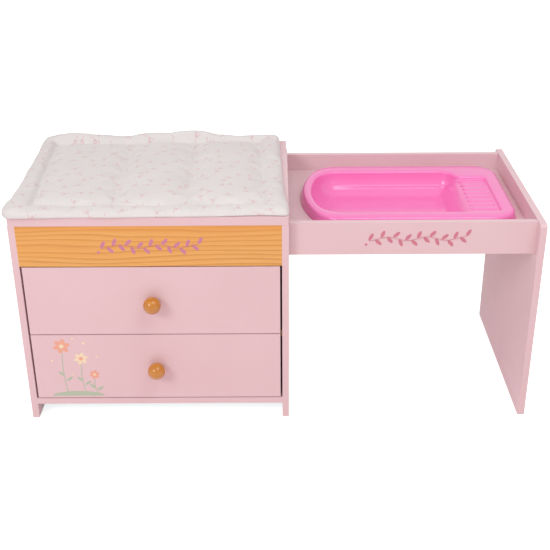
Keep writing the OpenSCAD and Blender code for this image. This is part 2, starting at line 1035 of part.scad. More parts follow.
// Changing mat, a plain padded slab. Its section is drawn inward from the edge
// at x = 0, which swells out to the side seam.
module mat_section(reach) {
    under = mat_edge_up;
    over = mat_h - under;
    translate([-reach, 0])
        square([reach - over, mat_h]);
    translate([-over, 0])
        square([over - under, under]);
    intersection() {
        translate([-over, under])
            circle(r = over);
        translate([-over, under])
            square([over, over]);
    }
    intersection() {
        translate([-under, under])
            circle(r = under);
        translate([-under, 0])
            square([under, under]);
    }
}
module changing_mat() {
    r = mat_corner_r;
    x = mat_l / 2 - r;
    y = mat_w / 2 - r;
    color(QUILT)
        placed()
            translate([mat_x, mat_y, top_z + mat_clear])
                rotate([0, 0, mat_turn]) {
                    board(-x, x, -y, y, 0, mat_h);
                    for (side = [0, 1])
                        mirror([side, 0, 0])
                            translate([x + r, y, 0])
                                rotate([90, 0, 0])
                                    linear_extrude(height = 2 * y)
                                        mat_section(r);
                    for (side = [0, 1])
                        mirror([0, side, 0])
                            translate([-x, y + r, 0])
                                rotate([90, 0, 90])
                                    linear_extrude(height = 2 * x)
                                        mat_section(r);
                    for (side = [0, 1])
                        for (end = [0, 1])
                            mirror([end, 0, 0])
                                mirror([0, side, 0])
                                    translate([x, y, 0])
                                        rotate_extrude(angle = 90)
                                            intersection() {
                                                translate([r, 0])
                                                    mat_section(r);
                                                square([r, mat_h]);
                                            }
                }
}

left_side_panel();
right_side_panel();
back_panel();
bottom_board();
divider_board();
pine_fascia();
top_board();
top_rear_board();
rear_batten();
left_drawer_runner();
right_drawer_runner();
tray_guides();
tray_stops();
top_dowels();
cabinet_screws();
back_panel_screws();
upper_drawer_front();
upper_drawer_left_side();
upper_drawer_right_side();
upper_drawer_back();
upper_drawer_bottom();
upper_knob();
upper_knob_screw();
lower_drawer_front();
lower_drawer_left_side();
lower_drawer_right_side();
lower_drawer_back();
lower_drawer_bottom();
lower_knob();
lower_knob_screw();
tray_front_rail();
tray_back_rail();
tray_end_rail();
tray_floor();
tray_floor_ledges();
leg_panel();
tray_screws();
bath_tub();
changing_mat();
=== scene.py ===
"""Looks of a doll-size changing dresser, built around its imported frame.

Everything is in metres in the frame's own axes: X to the right, Y to the back, Z up.
"""
import json
import math

import bmesh
import bpy
import numpy as np
from mathutils import Matrix, Vector

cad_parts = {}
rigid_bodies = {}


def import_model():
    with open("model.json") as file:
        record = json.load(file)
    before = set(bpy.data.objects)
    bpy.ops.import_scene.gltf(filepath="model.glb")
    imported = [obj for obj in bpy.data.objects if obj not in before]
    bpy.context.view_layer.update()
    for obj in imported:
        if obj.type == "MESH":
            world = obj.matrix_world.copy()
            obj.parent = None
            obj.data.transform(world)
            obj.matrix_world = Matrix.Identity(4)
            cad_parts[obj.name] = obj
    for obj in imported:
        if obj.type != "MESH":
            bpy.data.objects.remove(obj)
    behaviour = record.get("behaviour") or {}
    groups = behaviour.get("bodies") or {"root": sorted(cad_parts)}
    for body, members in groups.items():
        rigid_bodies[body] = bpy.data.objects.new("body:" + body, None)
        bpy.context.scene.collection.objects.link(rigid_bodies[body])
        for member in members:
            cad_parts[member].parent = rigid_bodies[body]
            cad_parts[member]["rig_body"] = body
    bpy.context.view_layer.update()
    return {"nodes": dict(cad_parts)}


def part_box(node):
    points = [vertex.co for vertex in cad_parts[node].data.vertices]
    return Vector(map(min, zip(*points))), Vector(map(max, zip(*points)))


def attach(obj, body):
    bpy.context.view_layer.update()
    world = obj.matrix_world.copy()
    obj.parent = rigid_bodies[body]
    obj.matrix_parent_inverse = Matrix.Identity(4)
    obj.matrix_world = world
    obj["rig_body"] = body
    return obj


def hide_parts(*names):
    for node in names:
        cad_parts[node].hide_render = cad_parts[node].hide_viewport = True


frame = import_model()

MM = 0.001
WELD = 1e-6
FLAT_ANGLE = math.radians(1)
EASED_ANGLE = math.radians(40)

# Boards with painted or clear finish, and the radius of their eased edges
PAINTED_BOARDS = {
    "left_side_panel": 1.0, "right_side_panel": 1.0, "bottom_board": 1.0,
    "top_board": 1.2, "top_rear_board": 1.2,
    "upper_drawer_front": 1.3, "lower_drawer_front": 1.3,
    "tray_front_rail": 2.2, "tray_back_rail": 2.2, "tray_end_rail": 1.5,
    "tray_floor": 0.8, "leg_panel": 2.4,
}
PLAIN_BOARDS = [
    "back_panel", "divider_board", "rear_batten", "left_drawer_runner", "right_drawer_runner",
    "tray_guides", "tray_stops", "tray_floor_ledges",
    "upper_drawer_left_side", "upper_drawer_right_side", "upper_drawer_back",
    "upper_drawer_bottom", "lower_drawer_left_side", "lower_drawer_right_side",
    "lower_drawer_back", "lower_drawer_bottom",
]


def srgb(red, green, blue):
    """A colour in sRGB steps of 0 to 255, as the shader's linear numbers."""
    def linear(step):
        share = step / 255
        return share / 12.92 if share <= 0.04045 else ((share + 0.055) / 1.055) ** 2.4
    return (linear(red), linear(green), linear(blue), 1.0)


PAINT = srgb(231, 202, 206)
PAINT_DEEP = srgb(225, 191, 196)
PINE_EARLY = srgb(233, 176, 98)
PINE_MID = srgb(225, 162, 80)
PINE_LATE = srgb(190, 118, 40)
PINE_FIBRE_DARK = srgb(214, 150, 74)
PINE_FIBRE_PALE = srgb(246, 192, 112)
PINE_WARM = srgb(234, 158, 72)
PINE_TOP_BAND = srgb(226, 148, 60)
PLY_LIGHT = srgb(226, 196, 150)
PLY_DARK = srgb(205, 168, 118)
LACQUER = srgb(208, 138, 26)
LACQUER_DARK = srgb(184, 106, 14)
BATH_PINK = srgb(245, 119, 188)
BATH_PINK_PALE = srgb(247, 128, 196)
STEEL = srgb(190, 192, 196)
COTTON = srgb(227, 223, 222)
COTTON_GREY = srgb(218, 213, 213)
SPRIG_PINK = srgb(214, 156, 165)
SPRIG_LEAF = srgb(224, 184, 184)
THREAD = srgb(250, 248, 246)
PRINT_MAUVE = srgb(200, 118, 148)
PRINT_ROSE = srgb(206, 112, 134)
PRINT_CREAM = srgb(244, 226, 190)
PRINT_CORAL = srgb(238, 168, 140)
PRINT_GREEN = srgb(176, 196, 168)
WHITE = (1.0, 1.0, 1.0, 1.0)


# Node helpers

def add_node(tree, kind, values=None, **settings):
    """A node with its settings, and its sockets' values or links."""
    made = tree.nodes.new(kind)
    for name, value in settings.items():
        setattr(made, name, value)
    for key, value in (values or {}).items():
        socket = made.inputs[key]
        if isinstance(value, bpy.types.NodeSocket):
            tree.links.new(value, socket)
        else:
            socket.default_value = value
    return made


def math_node(tree, operation, first, second=0.0):
    return add_node(tree, "ShaderNodeMath", {0: first, 1: second}, operation=operation).outputs[0]


def vector_node(tree, operation, first, second):
    made = add_node(tree, "ShaderNodeVectorMath", {0: first, 1: second}, operation=operation)
    return made.outputs["Value" if operation == "DISTANCE" else "Vector"]


def map_range(tree, value, low, high, start=0.0, end=1.0):
    """A value that runs from start to end, made to run from low to high."""
    return add_node(tree, "ShaderNodeMapRange", {
        "Value": value, "From Min": start, "From Max": end, "To Min": low, "To Max": high,
    }).outputs[0]


def new_material(name, roughness, **sockets):
    """A material, its tree and its shader, with values set on the shader's own sockets."""
    material = bpy.data.materials.new(name)
    material.use_nodes = True
    tree = material.node_tree
    shader = tree.nodes["Principled BSDF"]
    shader.inputs["Roughness"].default_value = roughness
    for key, value in sockets.items():
        shader.inputs[key.replace("_", " ")].default_value = value
    return material, tree, shader


def object_place(tree, scale=(1, 1, 1)):
    """Object coordinates, stretched along the axes."""
    coordinates = add_node(tree, "ShaderNodeTexCoord").outputs["Object"]
    return add_node(tree, "ShaderNodeMapping", {"Vector": coordinates, "Scale": scale}).outputs[0]


def noise(tree, place, scale, detail=2.0, roughness=0.5):
    return add_node(tree, "ShaderNodeTexNoise", {
        "Vector": place, "Scale": scale, "Detail": detail, "Roughness": roughness,
    }).outputs["Fac"]


def ramp(tree, factor, stops):
    """Colours along a factor, as (position, colour) stops."""
    made = add_node(tree, "ShaderNodeValToRGB", {"Fac": factor})
    elements = made.color_ramp.elements
    while len(elements) < len(stops):
        elements.new(0.5)
    for element, (position, colour) in zip(elements, stops):
        element.position = position
        element.color = colour
    return made.outputs["Color"]


def mix_colour(tree, factor, first, second):
    made = add_node(tree, "ShaderNodeMix", data_type="RGBA")
    for index, value in ((0, factor), (6, first), (7, second)):
        if isinstance(value, bpy.types.NodeSocket):
            tree.links.new(value, made.inputs[index])
        else:
            made.inputs[index].default_value = value
    return made.outputs[2]


def add_bump(tree, shader, height, strength, distance):
    bump = add_node(tree, "ShaderNodeBump", {
        "Height": height, "Strength": strength, "Distance": distance})
    tree.links.new(bump.outputs["Normal"], shader.inputs["Normal"])


def vary_roughness(tree, shader, factor, low, high):
    tree.links.new(map_range(tree, factor, low, high), shader.inputs["Roughness"])


# Materials

# Growth rings of the pine: how many in a metre of height, and how many ring widths they wander in
# long and in short waves
RINGS_PER_METRE = 108.0
RING_SWAY = 4.4
RING_DRIFT = 0.5
FIBRE_SHARE = 0.30
WARM_SHARE = 0.45
# A redder, darker band along the pine board's top edge: how many metres under the edge it starts
# and is full, and its share of the colour
TOP_BAND_START = 0.014
TOP_BAND_FULL = 0.006
TOP_BAND_SHARE = 0.5


def board_paint():
    """Sprayed satin paint on board, with a faint orange-peel skin."""
    material, tree, shader = new_material("board_paint", 0.45)
    place = object_place(tree)
    cloud = noise(tree, place, 7.0, 3.0)
    tree.links.new(mix_colour(tree, cloud, PAINT, PAINT_DEEP), shader.inputs["Base Color"])
    vary_roughness(tree, shader, noise(tree, place, 40.0), 0.38, 0.52)
    add_bump(tree, shader, noise(tree, place, 650.0, 2.0), 0.10, 0.0002)
    return material


def clear_pine():
    """Lacquered pine with its grain along X: pale early wood that darkens to each ring's line."""
    material, tree, shader = new_material("clear_pine", 0.42, Coat_Weight=0.15)
    height = add_node(tree, "ShaderNodeSeparateXYZ", {"Vector": object_place(tree)}).outputs["Z"]
    sway = noise(tree, object_place(tree, (2.2, 5.0, 16.0)), 1.0)
    drift = noise(tree, object_place(tree, (9.0, 9.0, 60.0)), 1.0)
    rings = math_node(tree, "MULTIPLY", height, RINGS_PER_METRE)
    for wander, share in ((sway, RING_SWAY), (drift, RING_DRIFT)):
        rings = math_node(tree, "ADD", rings, math_node(tree, "MULTIPLY", wander, share))
    wood = ramp(tree, math_node(tree, "FRACT", rings), [
        (0.0, PINE_EARLY), (0.25, PINE_MID), (0.5, PINE_MID), (0.8, PINE_LATE), (1.0, PINE_EARLY)])
    fibre = noise(tree, object_place(tree, (14.0, 300.0, 900.0)), 1.0, 3.0, 0.7)
    fibre_tint = ramp(tree, fibre, [(0.3, PINE_FIBRE_DARK), (0.62, PINE_FIBRE_PALE)])
    colour = mix_colour(tree, FIBRE_SHARE, wood, fibre_tint)
    warm = noise(tree, object_place(tree, (1.5, 1.0, 22.0)), 1.0, 1.0)
    warm_share = map_range(tree, warm, 0.0, WARM_SHARE, start=0.45, end=0.75)
    colour = mix_colour(tree, warm_share, colour, PINE_WARM)
    # A redder, darker band of colour along the board's top edge
    board_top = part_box("pine_fascia")[1].z
    top_band_share = map_range(tree, height, 0.0, TOP_BAND_SHARE,
                            start=board_top - TOP_BAND_START, end=board_top - TOP_BAND_FULL)
    colour = mix_colour(tree, top_band_share, colour, PINE_TOP_BAND)
    tree.links.new(colour, shader.inputs["Base Color"])
    add_bump(tree, shader, fibre, 0.12, 0.0002)
    return material


def plain_wood():
    """Unpainted light board and ply of the hidden parts."""
    material, tree, shader = new_material("plain_wood", 0.6)
    grain = noise(tree, object_place(tree, (6.0, 6.0, 160.0)), 1.0, 3.0, 0.6)
    fleck = noise(tree, object_place(tree, (60.0, 60.0, 700.0)), 1.0, 2.0, 0.6)
    colour = mix_colour(tree, grain, PLY_LIGHT, PLY_DARK)
    colour = mix_colour(tree, math_node(tree, "MULTIPLY", fleck, 0.35), colour, PLY_DARK)
    tree.links.new(colour, shader.inputs["Base Color"])
    add_bump(tree, shader, fleck, 0.2, 0.0002)
    return material


def knob_lacquer():
    """Turned wood under clear glossy lacquer, with rings across the turning axis."""
    material, tree, shader = new_material(
        "knob_lacquer", 0.28, Coat_Weight=0.4, Coat_Roughness=0.08)
    grain = noise(tree, object_place(tree, (30.0, 30.0, 260.0)), 1.0, 3.0, 0.6)
    tree.links.new(mix_colour(tree, grain, LACQUER, LACQUER_DARK), shader.inputs["Base Color"])
    add_bump(tree, shader, grain, 0.05, 0.0002)
    return material


def bath_plastic():
    """Glossy moulded plastic, a little cloudy inside."""
    material, tree, shader = new_material(
        "bath_plastic", 0.22, Specular_IOR_Level=0.55, Coat_Weight=0.25, Coat_Roughness=0.12)
    place = object_place(tree)
    cloud = noise(tree, place, 9.0, 2.0)
    tree.links.new(mix_colour(tree, cloud, BATH_PINK, BATH_PINK_PALE), shader.inputs["Base Color"])
    vary_roughness(tree, shader, noise(tree, place, 60.0), 0.18, 0.28)
    add_bump(tree, shader, noise(tree, place, 260.0), 0.05, 0.0003)
    return material


def bright_steel():
    material, tree, shader = new_material("bright_steel", 0.32, Metallic=1.0)
    shader.inputs["Base Color"].default_value = STEEL
    vary_roughness(tree, shader, noise(tree, object_place(tree), 900.0), 0.25, 0.42)
    return material


def print_ink(name, colour):
    """Matt screen-printed ink."""
    material, tree, shader = new_material(name, 0.55)
    speck = noise(tree, object_place(tree), 300.0, 3.0)
    thin = map_range(tree, speck, 0.0, 0.18)
    tree.links.new(mix_colour(tree, thin, colour, PAINT), shader.inputs["Base Color"])
    add_bump(tree, shader, speck, 0.1, 0.0001)
    return material


def sewing_thread():
    material, tree, shader = new_material("sewing_thread", 0.7)
    shader.inputs["Base Color"].default_value = THREAD
    add_bump(tree, shader, noise(tree, object_place(tree), 2500.0), 0.4, 0.0002)
    return material


# The cotton's printed sprigs, in metres on the cloth. Petals and leaves are round spots on a ring,
# each at a share of the ring's radius and a turn in radians.
SPRIG_PITCH = 0.031
SPRIG_SCATTER = 0.85
SPRIG_PETAL_RING = 0.0024
SPRIG_PETAL_SIZE = 0.001496
SPRIG_PETAL_PLACES = ((1.0, 0.0), (1.0, 1.26), (1.0, 2.51), (1.0, 3.77), (1.0, 5.03))
SPRIG_LEAF_RING = 0.0062
SPRIG_LEAF_SIZE = 0.0013
SPRIG_LEAF_PLACES = ((1.0, 0.3), (1.35, 0.1), (1.0, 2.4), (1.5, 2.7), (1.1, 4.3))
# Cover of the petals' and leaves' ink, to which an uneven cover is added
SPRIG_PETAL_INK = 0.02
SPRIG_LEAF_INK = 0.25
WEAVE_PITCH = 0.0011


def quilt_cotton():
    """White cotton with scattered sprigs of flowers and buds, read from the cloth's own UV map."""
    material, tree, shader = new_material("quilt_cotton", 0.88, Sheen_Weight=0.25)
    cloth = add_node(tree, "ShaderNodeUVMap", uv_map="cloth").outputs["UV"]
    cells = add_node(tree, "ShaderNodeTexVoronoi", {
        "Vector": cloth, "Scale": 1.0 / SPRIG_PITCH, "Randomness": SPRIG_SCATTER},
        feature="F1", voronoi_dimensions="2D")
    centre = vector_node(tree, "MULTIPLY", cells.outputs["Position"], (1, 1, 0))
    local = vector_node(tree, "SUBTRACT", cloth, centre)
    parts = add_node(tree, "ShaderNodeSeparateColor", {"Color": cells.outputs["Color"]})
    turn = math_node(tree, "MULTIPLY", parts.outputs[0], math.tau)
    turned = add_node(tree, "ShaderNodeVectorRotate", {
        "Vector": local, "Axis": (0, 0, 1), "Angle": turn}, rotation_type="AXIS_ANGLE").outputs[0]

    def spots(ring, places, size):
        """1 inside any of the round spots at these places of a ring."""
        total = None
        for share, angle in places:
            place = (ring * share * math.cos(angle), ring * share * math.sin(angle), 0)
            distance = vector_node(tree, "DISTANCE", turned, place)
            spot = map_range(tree, distance, 0.0, 1.0, start=size * 1.1, end=size * 0.75)
            total = spot if total is None else math_node(tree, "MAXIMUM", total, spot)
        return total

    ink = noise(tree, cloth, 900.0)
    petals = spots(SPRIG_PETAL_RING, SPRIG_PETAL_PLACES, SPRIG_PETAL_SIZE)
    petals = math_node(tree, "MULTIPLY", petals, math_node(tree, "ADD", ink, SPRIG_PETAL_INK))
    leaves = spots(SPRIG_LEAF_RING, SPRIG_LEAF_PLACES, SPRIG_LEAF_SIZE)
    leaves = math_node(tree, "MULTIPLY", leaves, math_node(tree, "ADD", ink, SPRIG_LEAF_INK))
    colour = mix_colour(tree, noise(tree, object_place(tree), 12.0), COTTON, COTTON_GREY)
    colour = mix_colour(tree, leaves, colour, SPRIG_LEAF)
    colour = mix_colour(tree, petals, colour, SPRIG_PINK)
    tree.links.new(colour, shader.inputs["Base Color"])
    weave = add_node(tree, "ShaderNodeTexChecker", {"Vector": cloth, "Scale": 1.0 / WEAVE_PITCH})
    crease = noise(tree, cloth, 60.0, 4.0, 0.6)
    height = math_node(tree, "ADD", math_node(tree, "MULTIPLY", crease, 2.0),
                       math_node(tree, "MULTIPLY", weave.outputs["Fac"], 0.10))
    add_bump(tree, shader, height, 0.35, 0.0008)
    return material


MATERIALS = {
    "paint": board_paint(),
    "pine": clear_pine(),
    "wood": plain_wood(),
    "lacquer": knob_lacquer(),
    "bath": bath_plastic(),
    "steel": bright_steel(),
    "cotton": quilt_cotton(),
    "thread": sewing_thread(),
    "ink_mauve": print_ink("ink_mauve", PRINT_MAUVE),
    "ink_rose": print_ink("ink_rose", PRINT_ROSE),
    "ink_cream": print_ink("ink_cream", PRINT_CREAM),
    "ink_coral": print_ink("ink_coral", PRINT_CORAL),
    "ink_green": print_ink("ink_green", PRINT_GREEN),
}


# Mesh helpers

def body_of(node):
    return frame["nodes"][node]["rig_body"]


def link_mesh(name, mesh, material, smooth=True):
    """An object for a mesh, with its material and smooth or flat shading."""
    mesh.materials.clear()
    mesh.materials.append(material)
    mesh.polygons.foreach_set("use_smooth", [smooth] * len(mesh.polygons))
    piece = bpy.data.objects.new(name, mesh)
    bpy.context.scene.collection.objects.link(piece)
    return piece


def mesh_of(name, points, faces):
    mesh = bpy.data.meshes.new(name)
    mesh.from_pydata([tuple(p) for p in points], [], [tuple(f) for f in faces])
    mesh.update()
    return mesh


def outward(mesh):
    """Makes a closed mesh's faces point outwards."""
    shape = bmesh.new()
    shape.from_mesh(mesh)
    bmesh.ops.remove_doubles(shape, verts=shape.verts, dist=WELD)
    bmesh.ops.recalc_face_normals(shape, faces=shape.faces)
    shape.to_mesh(mesh)
    shape.free()
    return mesh


def clean_copy(node):
    """A merged copy of a CAD node's mesh, with its flat faces whole."""
    shape = bmesh.new()
    shape.from_mesh(frame["nodes"][node].data)
    bmesh.ops.remove_doubles(shape, verts=shape.verts, dist=WELD)
    bmesh.ops.dissolve_limit(shape, angle_limit=FLAT_ANGLE, verts=shape.verts, edges=shape.edges)
    mesh = bpy.data.meshes.new(node + "_eased")
    shape.to_mesh(mesh)
    shape.free()
    for attribute in [a for a in mesh.attributes if a.name == "custom_normal"]:
        mesh.attributes.remove(attribute)
    return mesh


def eased_board(node, ease, material):
    """A board in its own form with eased edges. It stands for its CAD node."""
    piece = link_mesh(node + "_eased", clean_copy(node), material)
    bevel = piece.modifiers.new("eased_edges", "BEVEL")
    bevel.width = ease * MM
    bevel.segments = 3
    bevel.limit_method = "ANGLE"
    bevel.angle_limit = EASED_ANGLE
    bevel.harden_normals = True
    bevel.use_clamp_overlap = True
    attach(piece, body_of(node))
    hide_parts(node)
    return piece


def paint_nodes(nodes, material):
    """Gives CAD nodes a material in their own slots."""
    for node in nodes:
        mesh = frame["nodes"][node].data
        mesh.materials.clear()
        mesh.materials.append(material)


# Boards

for board, ease in PAINTED_BOARDS.items():
    eased_board(board, ease, MATERIALS["paint"])
eased_board("pine_fascia", 0.8, MATERIALS["pine"])
paint_nodes(PLAIN_BOARDS, MATERIALS["wood"])
paint_nodes(["top_dowels"], MATERIALS["pine"])
paint_nodes(["cabinet_screws", "back_panel_screws", "tray_screws", "upper_knob_screw",
             "lower_knob_screw"], MATERIALS["steel"])


# Turned knobs

# In mm: the ball's radius and how far its centre stands out, the neck, and the seat on the drawer
# front with the roll of its edge
BALL_R = 15.5
BALL_OUT = 17.0
NECK_R = 5.5
SEAT_R = 8.0
SEAT_T = 2.5
SEAT_ROLL = 1.0
SEAT_CHAMFER = 0.4
KNOB_SIDES = 72


def knob_outline():
    """The turning's outline as (radius, distance from the drawer front) in mm."""
    outline = [(0.0, 0.0), (SEAT_R - SEAT_CHAMFER, 0.0), (SEAT_R, SEAT_CHAMFER)]
    outline += [(SEAT_R - SEAT_ROLL + SEAT_ROLL * math.cos(a),
                 SEAT_T - SEAT_ROLL + SEAT_ROLL * math.sin(a))
                for a in np.linspace(0, math.pi / 2, 6)]
    neck_top = BALL_OUT - math.sqrt(BALL_R ** 2 - NECK_R ** 2)
    outline += [(NECK_R + 0.15, SEAT_T + 0.1), (NECK_R, SEAT_T + 0.4),
                (NECK_R, max(neck_top, SEAT_T + 0.6))]
    start = math.asin(NECK_R / BALL_R)
    outline += [(BALL_R * math.sin(a), BALL_OUT - BALL_R * math.cos(a))
                for a in np.linspace(start + 0.05, math.pi, 40)]
    outline[-1] = (0.0, outline[-1][1])
    return outline


def turned_knob(node):
    """A knob turned about the drawer front's normal. It stands for its CAD node."""
    low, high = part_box(node)
    centre = Vector(((low.x + high.x) / 2, high.y, (low.z + high.z) / 2))
    outline = knob_outline()
    points = [centre + Vector((0, -outline[0][1] * MM, 0))]
    for radius, out in outline[1:-1]:
        for side in range(KNOB_SIDES):
            angle = math.tau * side / KNOB_SIDES
            points.append(centre + MM * Vector(
                (radius * math.cos(angle), -out, radius * math.sin(angle))))
    points.append(centre + Vector((0, -outline[-1][1] * MM, 0)))
    rows = len(outline) - 2
    faces = []
    for side in range(KNOB_SIDES):
        after = (side + 1) % KNOB_SIDES
        faces.append((0, 1 + side, 1 + after))
        for row in range(rows - 1):
            near, far = 1 + row * KNOB_SIDES, 1 + (row + 1) * KNOB_SIDES
            faces.append((near + side, far + side, far + after, near + after))
        last = 1 + (rows - 1) * KNOB_SIDES
        faces.append((last + side, len(points) - 1, last + after))
    piece = link_mesh(node + "_turned", outward(mesh_of(node, points, faces)),
                      MATERIALS["lacquer"])
    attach(piece, body_of(node))
    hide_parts(node)
    return piece


for knob in ("upper_knob", "lower_knob"):
    turned_knob(knob)


# Moulded bath. Places are in mm from its head end (u), its front (v) and the rim's top (z).

# Outlines of the rim and of the basin's lip: head end, middle line, half width, and the radii of
# the head end's wide arc and of its corners
RIM = {"end": 0.0, "middle": 131.5, "half": 131.5, "end_r": 240.0, "corner_r": 55.0}
LIP = {"end": 17.5, "middle": 128.5, "half": 100.5, "end_r": 223.0, "corner_r": 50.0}
RIM_FOOT, RIM_FOOT_R = 382.5, 45.0
SHELF_EDGE, SHELF_END, SHELF_FRONT, SHELF_REAR, SHELF_R = 302.5, 356.5, 30.5, 197.5, 10.0
# The front lip steps in to the soap shelf from here on, over this length
FRONT_STEP, FRONT_STEP_L = 288.0, 22.0
# The rear lip turns in to the shelf: where its outline is sampled from, the turn's radius, the
# share of it that is used, and the half-millimetre steps to either side that it is eased over
REAR_TURN, REAR_TURN_R, REAR_TURN_SHARE, REAR_EASE = 240.0, 32.0, 0.985, 14
# The skirt's height, how far its foot flares out and how late, the rolled edge between skirt and
# rim, and the rim's rise between its two edges
SKIRT_H, SKIRT_FLARE, FLARE_POWER, EDGE_R, CROWN = 18.8, 3.5, 1.6, 7.0, 0.7
LIP_R, WALL_DRAFT, WALL_FILLET_R = 5.0, math.radians(13), 35.0
BASIN_DEPTH, SHELF_DROP, SHELF_EASE, FOOT_SLOPE = 42.0, 7.0, 1.1, 1.19
BATH_WALL = 2.8
RIB_COUNT, RIB_LENGTH, RIB_WIDTH, RIB_HEIGHT = 9, 49.0, 11.0, 1.6
RIB_FRONT_GAP, RIB_REAR_GAP = 5.0, 7.0

# The bath's mesh: steps along the basin, past the turn of its rear lip and along the shelf, the two
# places between them, steps across, and rows of points up the skirt, over its edge, across the rim,
# over the lip and down the wall, the last at these distances inside the lip
BASIN_STEPS, TURN_STEPS, SHELF_STEPS, ACROSS_STEPS = 66, 44, 22, 61
TURN_START, TURN_END = 255.0, 318.0
SKIRT_ROWS, EDGE_ROWS, RIM_ROWS, LIP_ROWS = 7, 8, 7, 9
WALL_ROWS = (0.7, 1.5, 2.4, 3.4, 4.6, 6.0, 7.5, 9.0)
# Two places along the bath that lie beside each other, on the lip and on the rim
LIP_MATCH, RIM_MATCH = 310.0, 318.0
# The basin's grid bends to its head end up to the first share of its length, and to its foot end
# from the second one on
HEAD_BEND, FOOT_BEND = 0.35, 0.93
BASIN_SMOOTHINGS, BASIN_SMOOTHING = 14, 0.7
CORNER_TURN = math.sqrt(0.5)


def ease(share):
    share = np.clip(share, 0, 1)
    return share * share * (3 - 2 * share)


def head_corner(form):
    """Centre of the front head corner's arc, as (u, distance from the middle)."""
    away = form["half"] - form["corner_r"]
    reach = form["end_r"] - form["corner_r"]
    return form["end"] + form["end_r"] - math.sqrt(reach ** 2 - away ** 2), away


def head_u(form, v):
    """The head end's outline: an arc of large radius that runs into two corner arcs."""
    corner_u, away = head_corner(form)
    t = np.abs(v - form["middle"])
    meet = away * form["end_r"] / (form["end_r"] - form["corner_r"])
    arc = form["end"] + form["end_r"] - np.sqrt(form["end_r"] ** 2 - np.minimum(t, meet) ** 2)
    corner = corner_u - np.sqrt(np.maximum(form["corner_r"] ** 2 - (t - away) ** 2, 0))
    return np.where(t < meet, arc, corner)


def side_half(form, u):
    """Half the width at a place along the bath, with the head corners."""
    corner_u, away = head_corner(form)
    reach = np.maximum(corner_u - u, 0)
    return away + np.sqrt(np.maximum(form["corner_r"] ** 2 - reach ** 2, 0))


def foot_round(u, end, radius):
    """How far a corner at the foot end draws a side in."""
    into = np.maximum(u - (end - radius), 0)
    return radius - np.sqrt(np.maximum(radius ** 2 - into ** 2, 0))


def lip_front(u):
    """The front lip: it steps in to the soap shelf, whose front edge it follows to the corner."""
    step = (SHELF_FRONT - (LIP["middle"] - LIP["half"])) * ease((u - FRONT_STEP) / FRONT_STEP_L)
    return LIP["middle"] - side_half(LIP, u) + step + foot_round(u, SHELF_END, SHELF_R)


def lip_rear(u):
    """The rear lip: it turns in to the soap shelf, whose rear edge it follows to the corner."""
    fine = np.arange(REAR_TURN, SHELF_END, 0.5)
    start = SHELF_EDGE - REAR_TURN_R - 1
    reach = REAR_TURN_R * REAR_TURN_SHARE
    into = np.clip(fine - start, 0, reach)
    turned = LIP["middle"] + LIP["half"] - REAR_TURN_R + np.sqrt(REAR_TURN_R ** 2 - into ** 2)
    turned = np.where(fine > start + reach, SHELF_REAR, np.maximum(turned, SHELF_REAR))
    window = 2 * REAR_EASE + 1
    turned = np.convolve(np.pad(turned, REAR_EASE, mode="edge"), np.ones(window) / window, "valid")
    straight = LIP["middle"] + side_half(LIP, u)
    rear = np.where(u < REAR_TURN + 5, straight, np.interp(u, fine, turned))
    return rear - foot_round(u, SHELF_END, SHELF_R)


def head_side(form, across):
    """An outline's side at the head end, from the rear corner to the front one."""
    reach = head_corner(form)[1] + form["corner_r"] * CORNER_TURN
    v = form["middle"] + reach * (1 - 2 * across)
    return head_u(form, v), v


def foot_side(end, front, rear, radius, across):
    """An outline's side at the foot end, from the front corner to the rear one."""
    inset = radius * (1 - CORNER_TURN)
    v = front + inset + across * (rear - front - 2 * inset)
    past = np.maximum(np.abs(v - (front + rear) / 2) - (rear - front) / 2 + radius, 0)
    return end - radius + np.sqrt(np.maximum(radius ** 2 - past ** 2, 0)), v


def loop_of(*sides):
    """One closed outline from its four sides, each given as its u and v in running direction."""
    return np.concatenate([np.stack(side, 1)[:-1] for side in sides])


def bath_outlines():
    """The rim's and the lip's outlines, with matching points, and the counts along both ways."""
    corner_u, rim_corner_u = head_corner(LIP)[0], head_corner(RIM)[0]
    first = corner_u - LIP["corner_r"] * CORNER_TURN
    last = SHELF_END - SHELF_R * (1 - CORNER_TURN)
    along = np.concatenate([np.linspace(first, TURN_START, BASIN_STEPS, endpoint=False),
                            np.linspace(TURN_START, TURN_END, TURN_STEPS, endpoint=False),
                            np.linspace(TURN_END, last, SHELF_STEPS)])
    across = np.linspace(0, 1, ACROSS_STEPS)
    across = (across + (1 - np.cos(math.pi * across)) / 2) / 2
    lip = loop_of((along, lip_front(along)),
                  foot_side(SHELF_END, SHELF_FRONT, SHELF_REAR, SHELF_R, across),
                  (along[::-1], lip_rear(along)[::-1]),
                  head_side(LIP, across))
    rim_first = rim_corner_u - RIM["corner_r"] * CORNER_TURN
    rim_last = RIM_FOOT - RIM_FOOT_R * (1 - CORNER_TURN)
    rim_along = np.interp(along, (first, corner_u, LIP_MATCH, last),
                          (rim_first, rim_corner_u, RIM_MATCH, rim_last))
    half = side_half(RIM, rim_along) - foot_round(rim_along, RIM_FOOT, RIM_FOOT_R)
    front, rear = RIM["middle"] - RIM["half"], RIM["middle"] + RIM["half"]
    rim = loop_of((rim_along, RIM["middle"] - half),
                  foot_side(RIM_FOOT, front, rear, RIM_FOOT_R, across),
                  (rim_along[::-1], (RIM["middle"] + half)[::-1]),
                  head_side(RIM, across))
    return rim, lip, len(along), len(across)


def outward_of(loop):
    """Unit normals of a closed outline that runs front, foot, rear, head."""
    ahead = np.roll(loop, -1, 0) - np.roll(loop, 1, 0)
    ahead /= np.linalg.norm(ahead, axis=1, keepdims=True)
    return np.stack([ahead[:, 1], -ahead[:, 0]], 1)


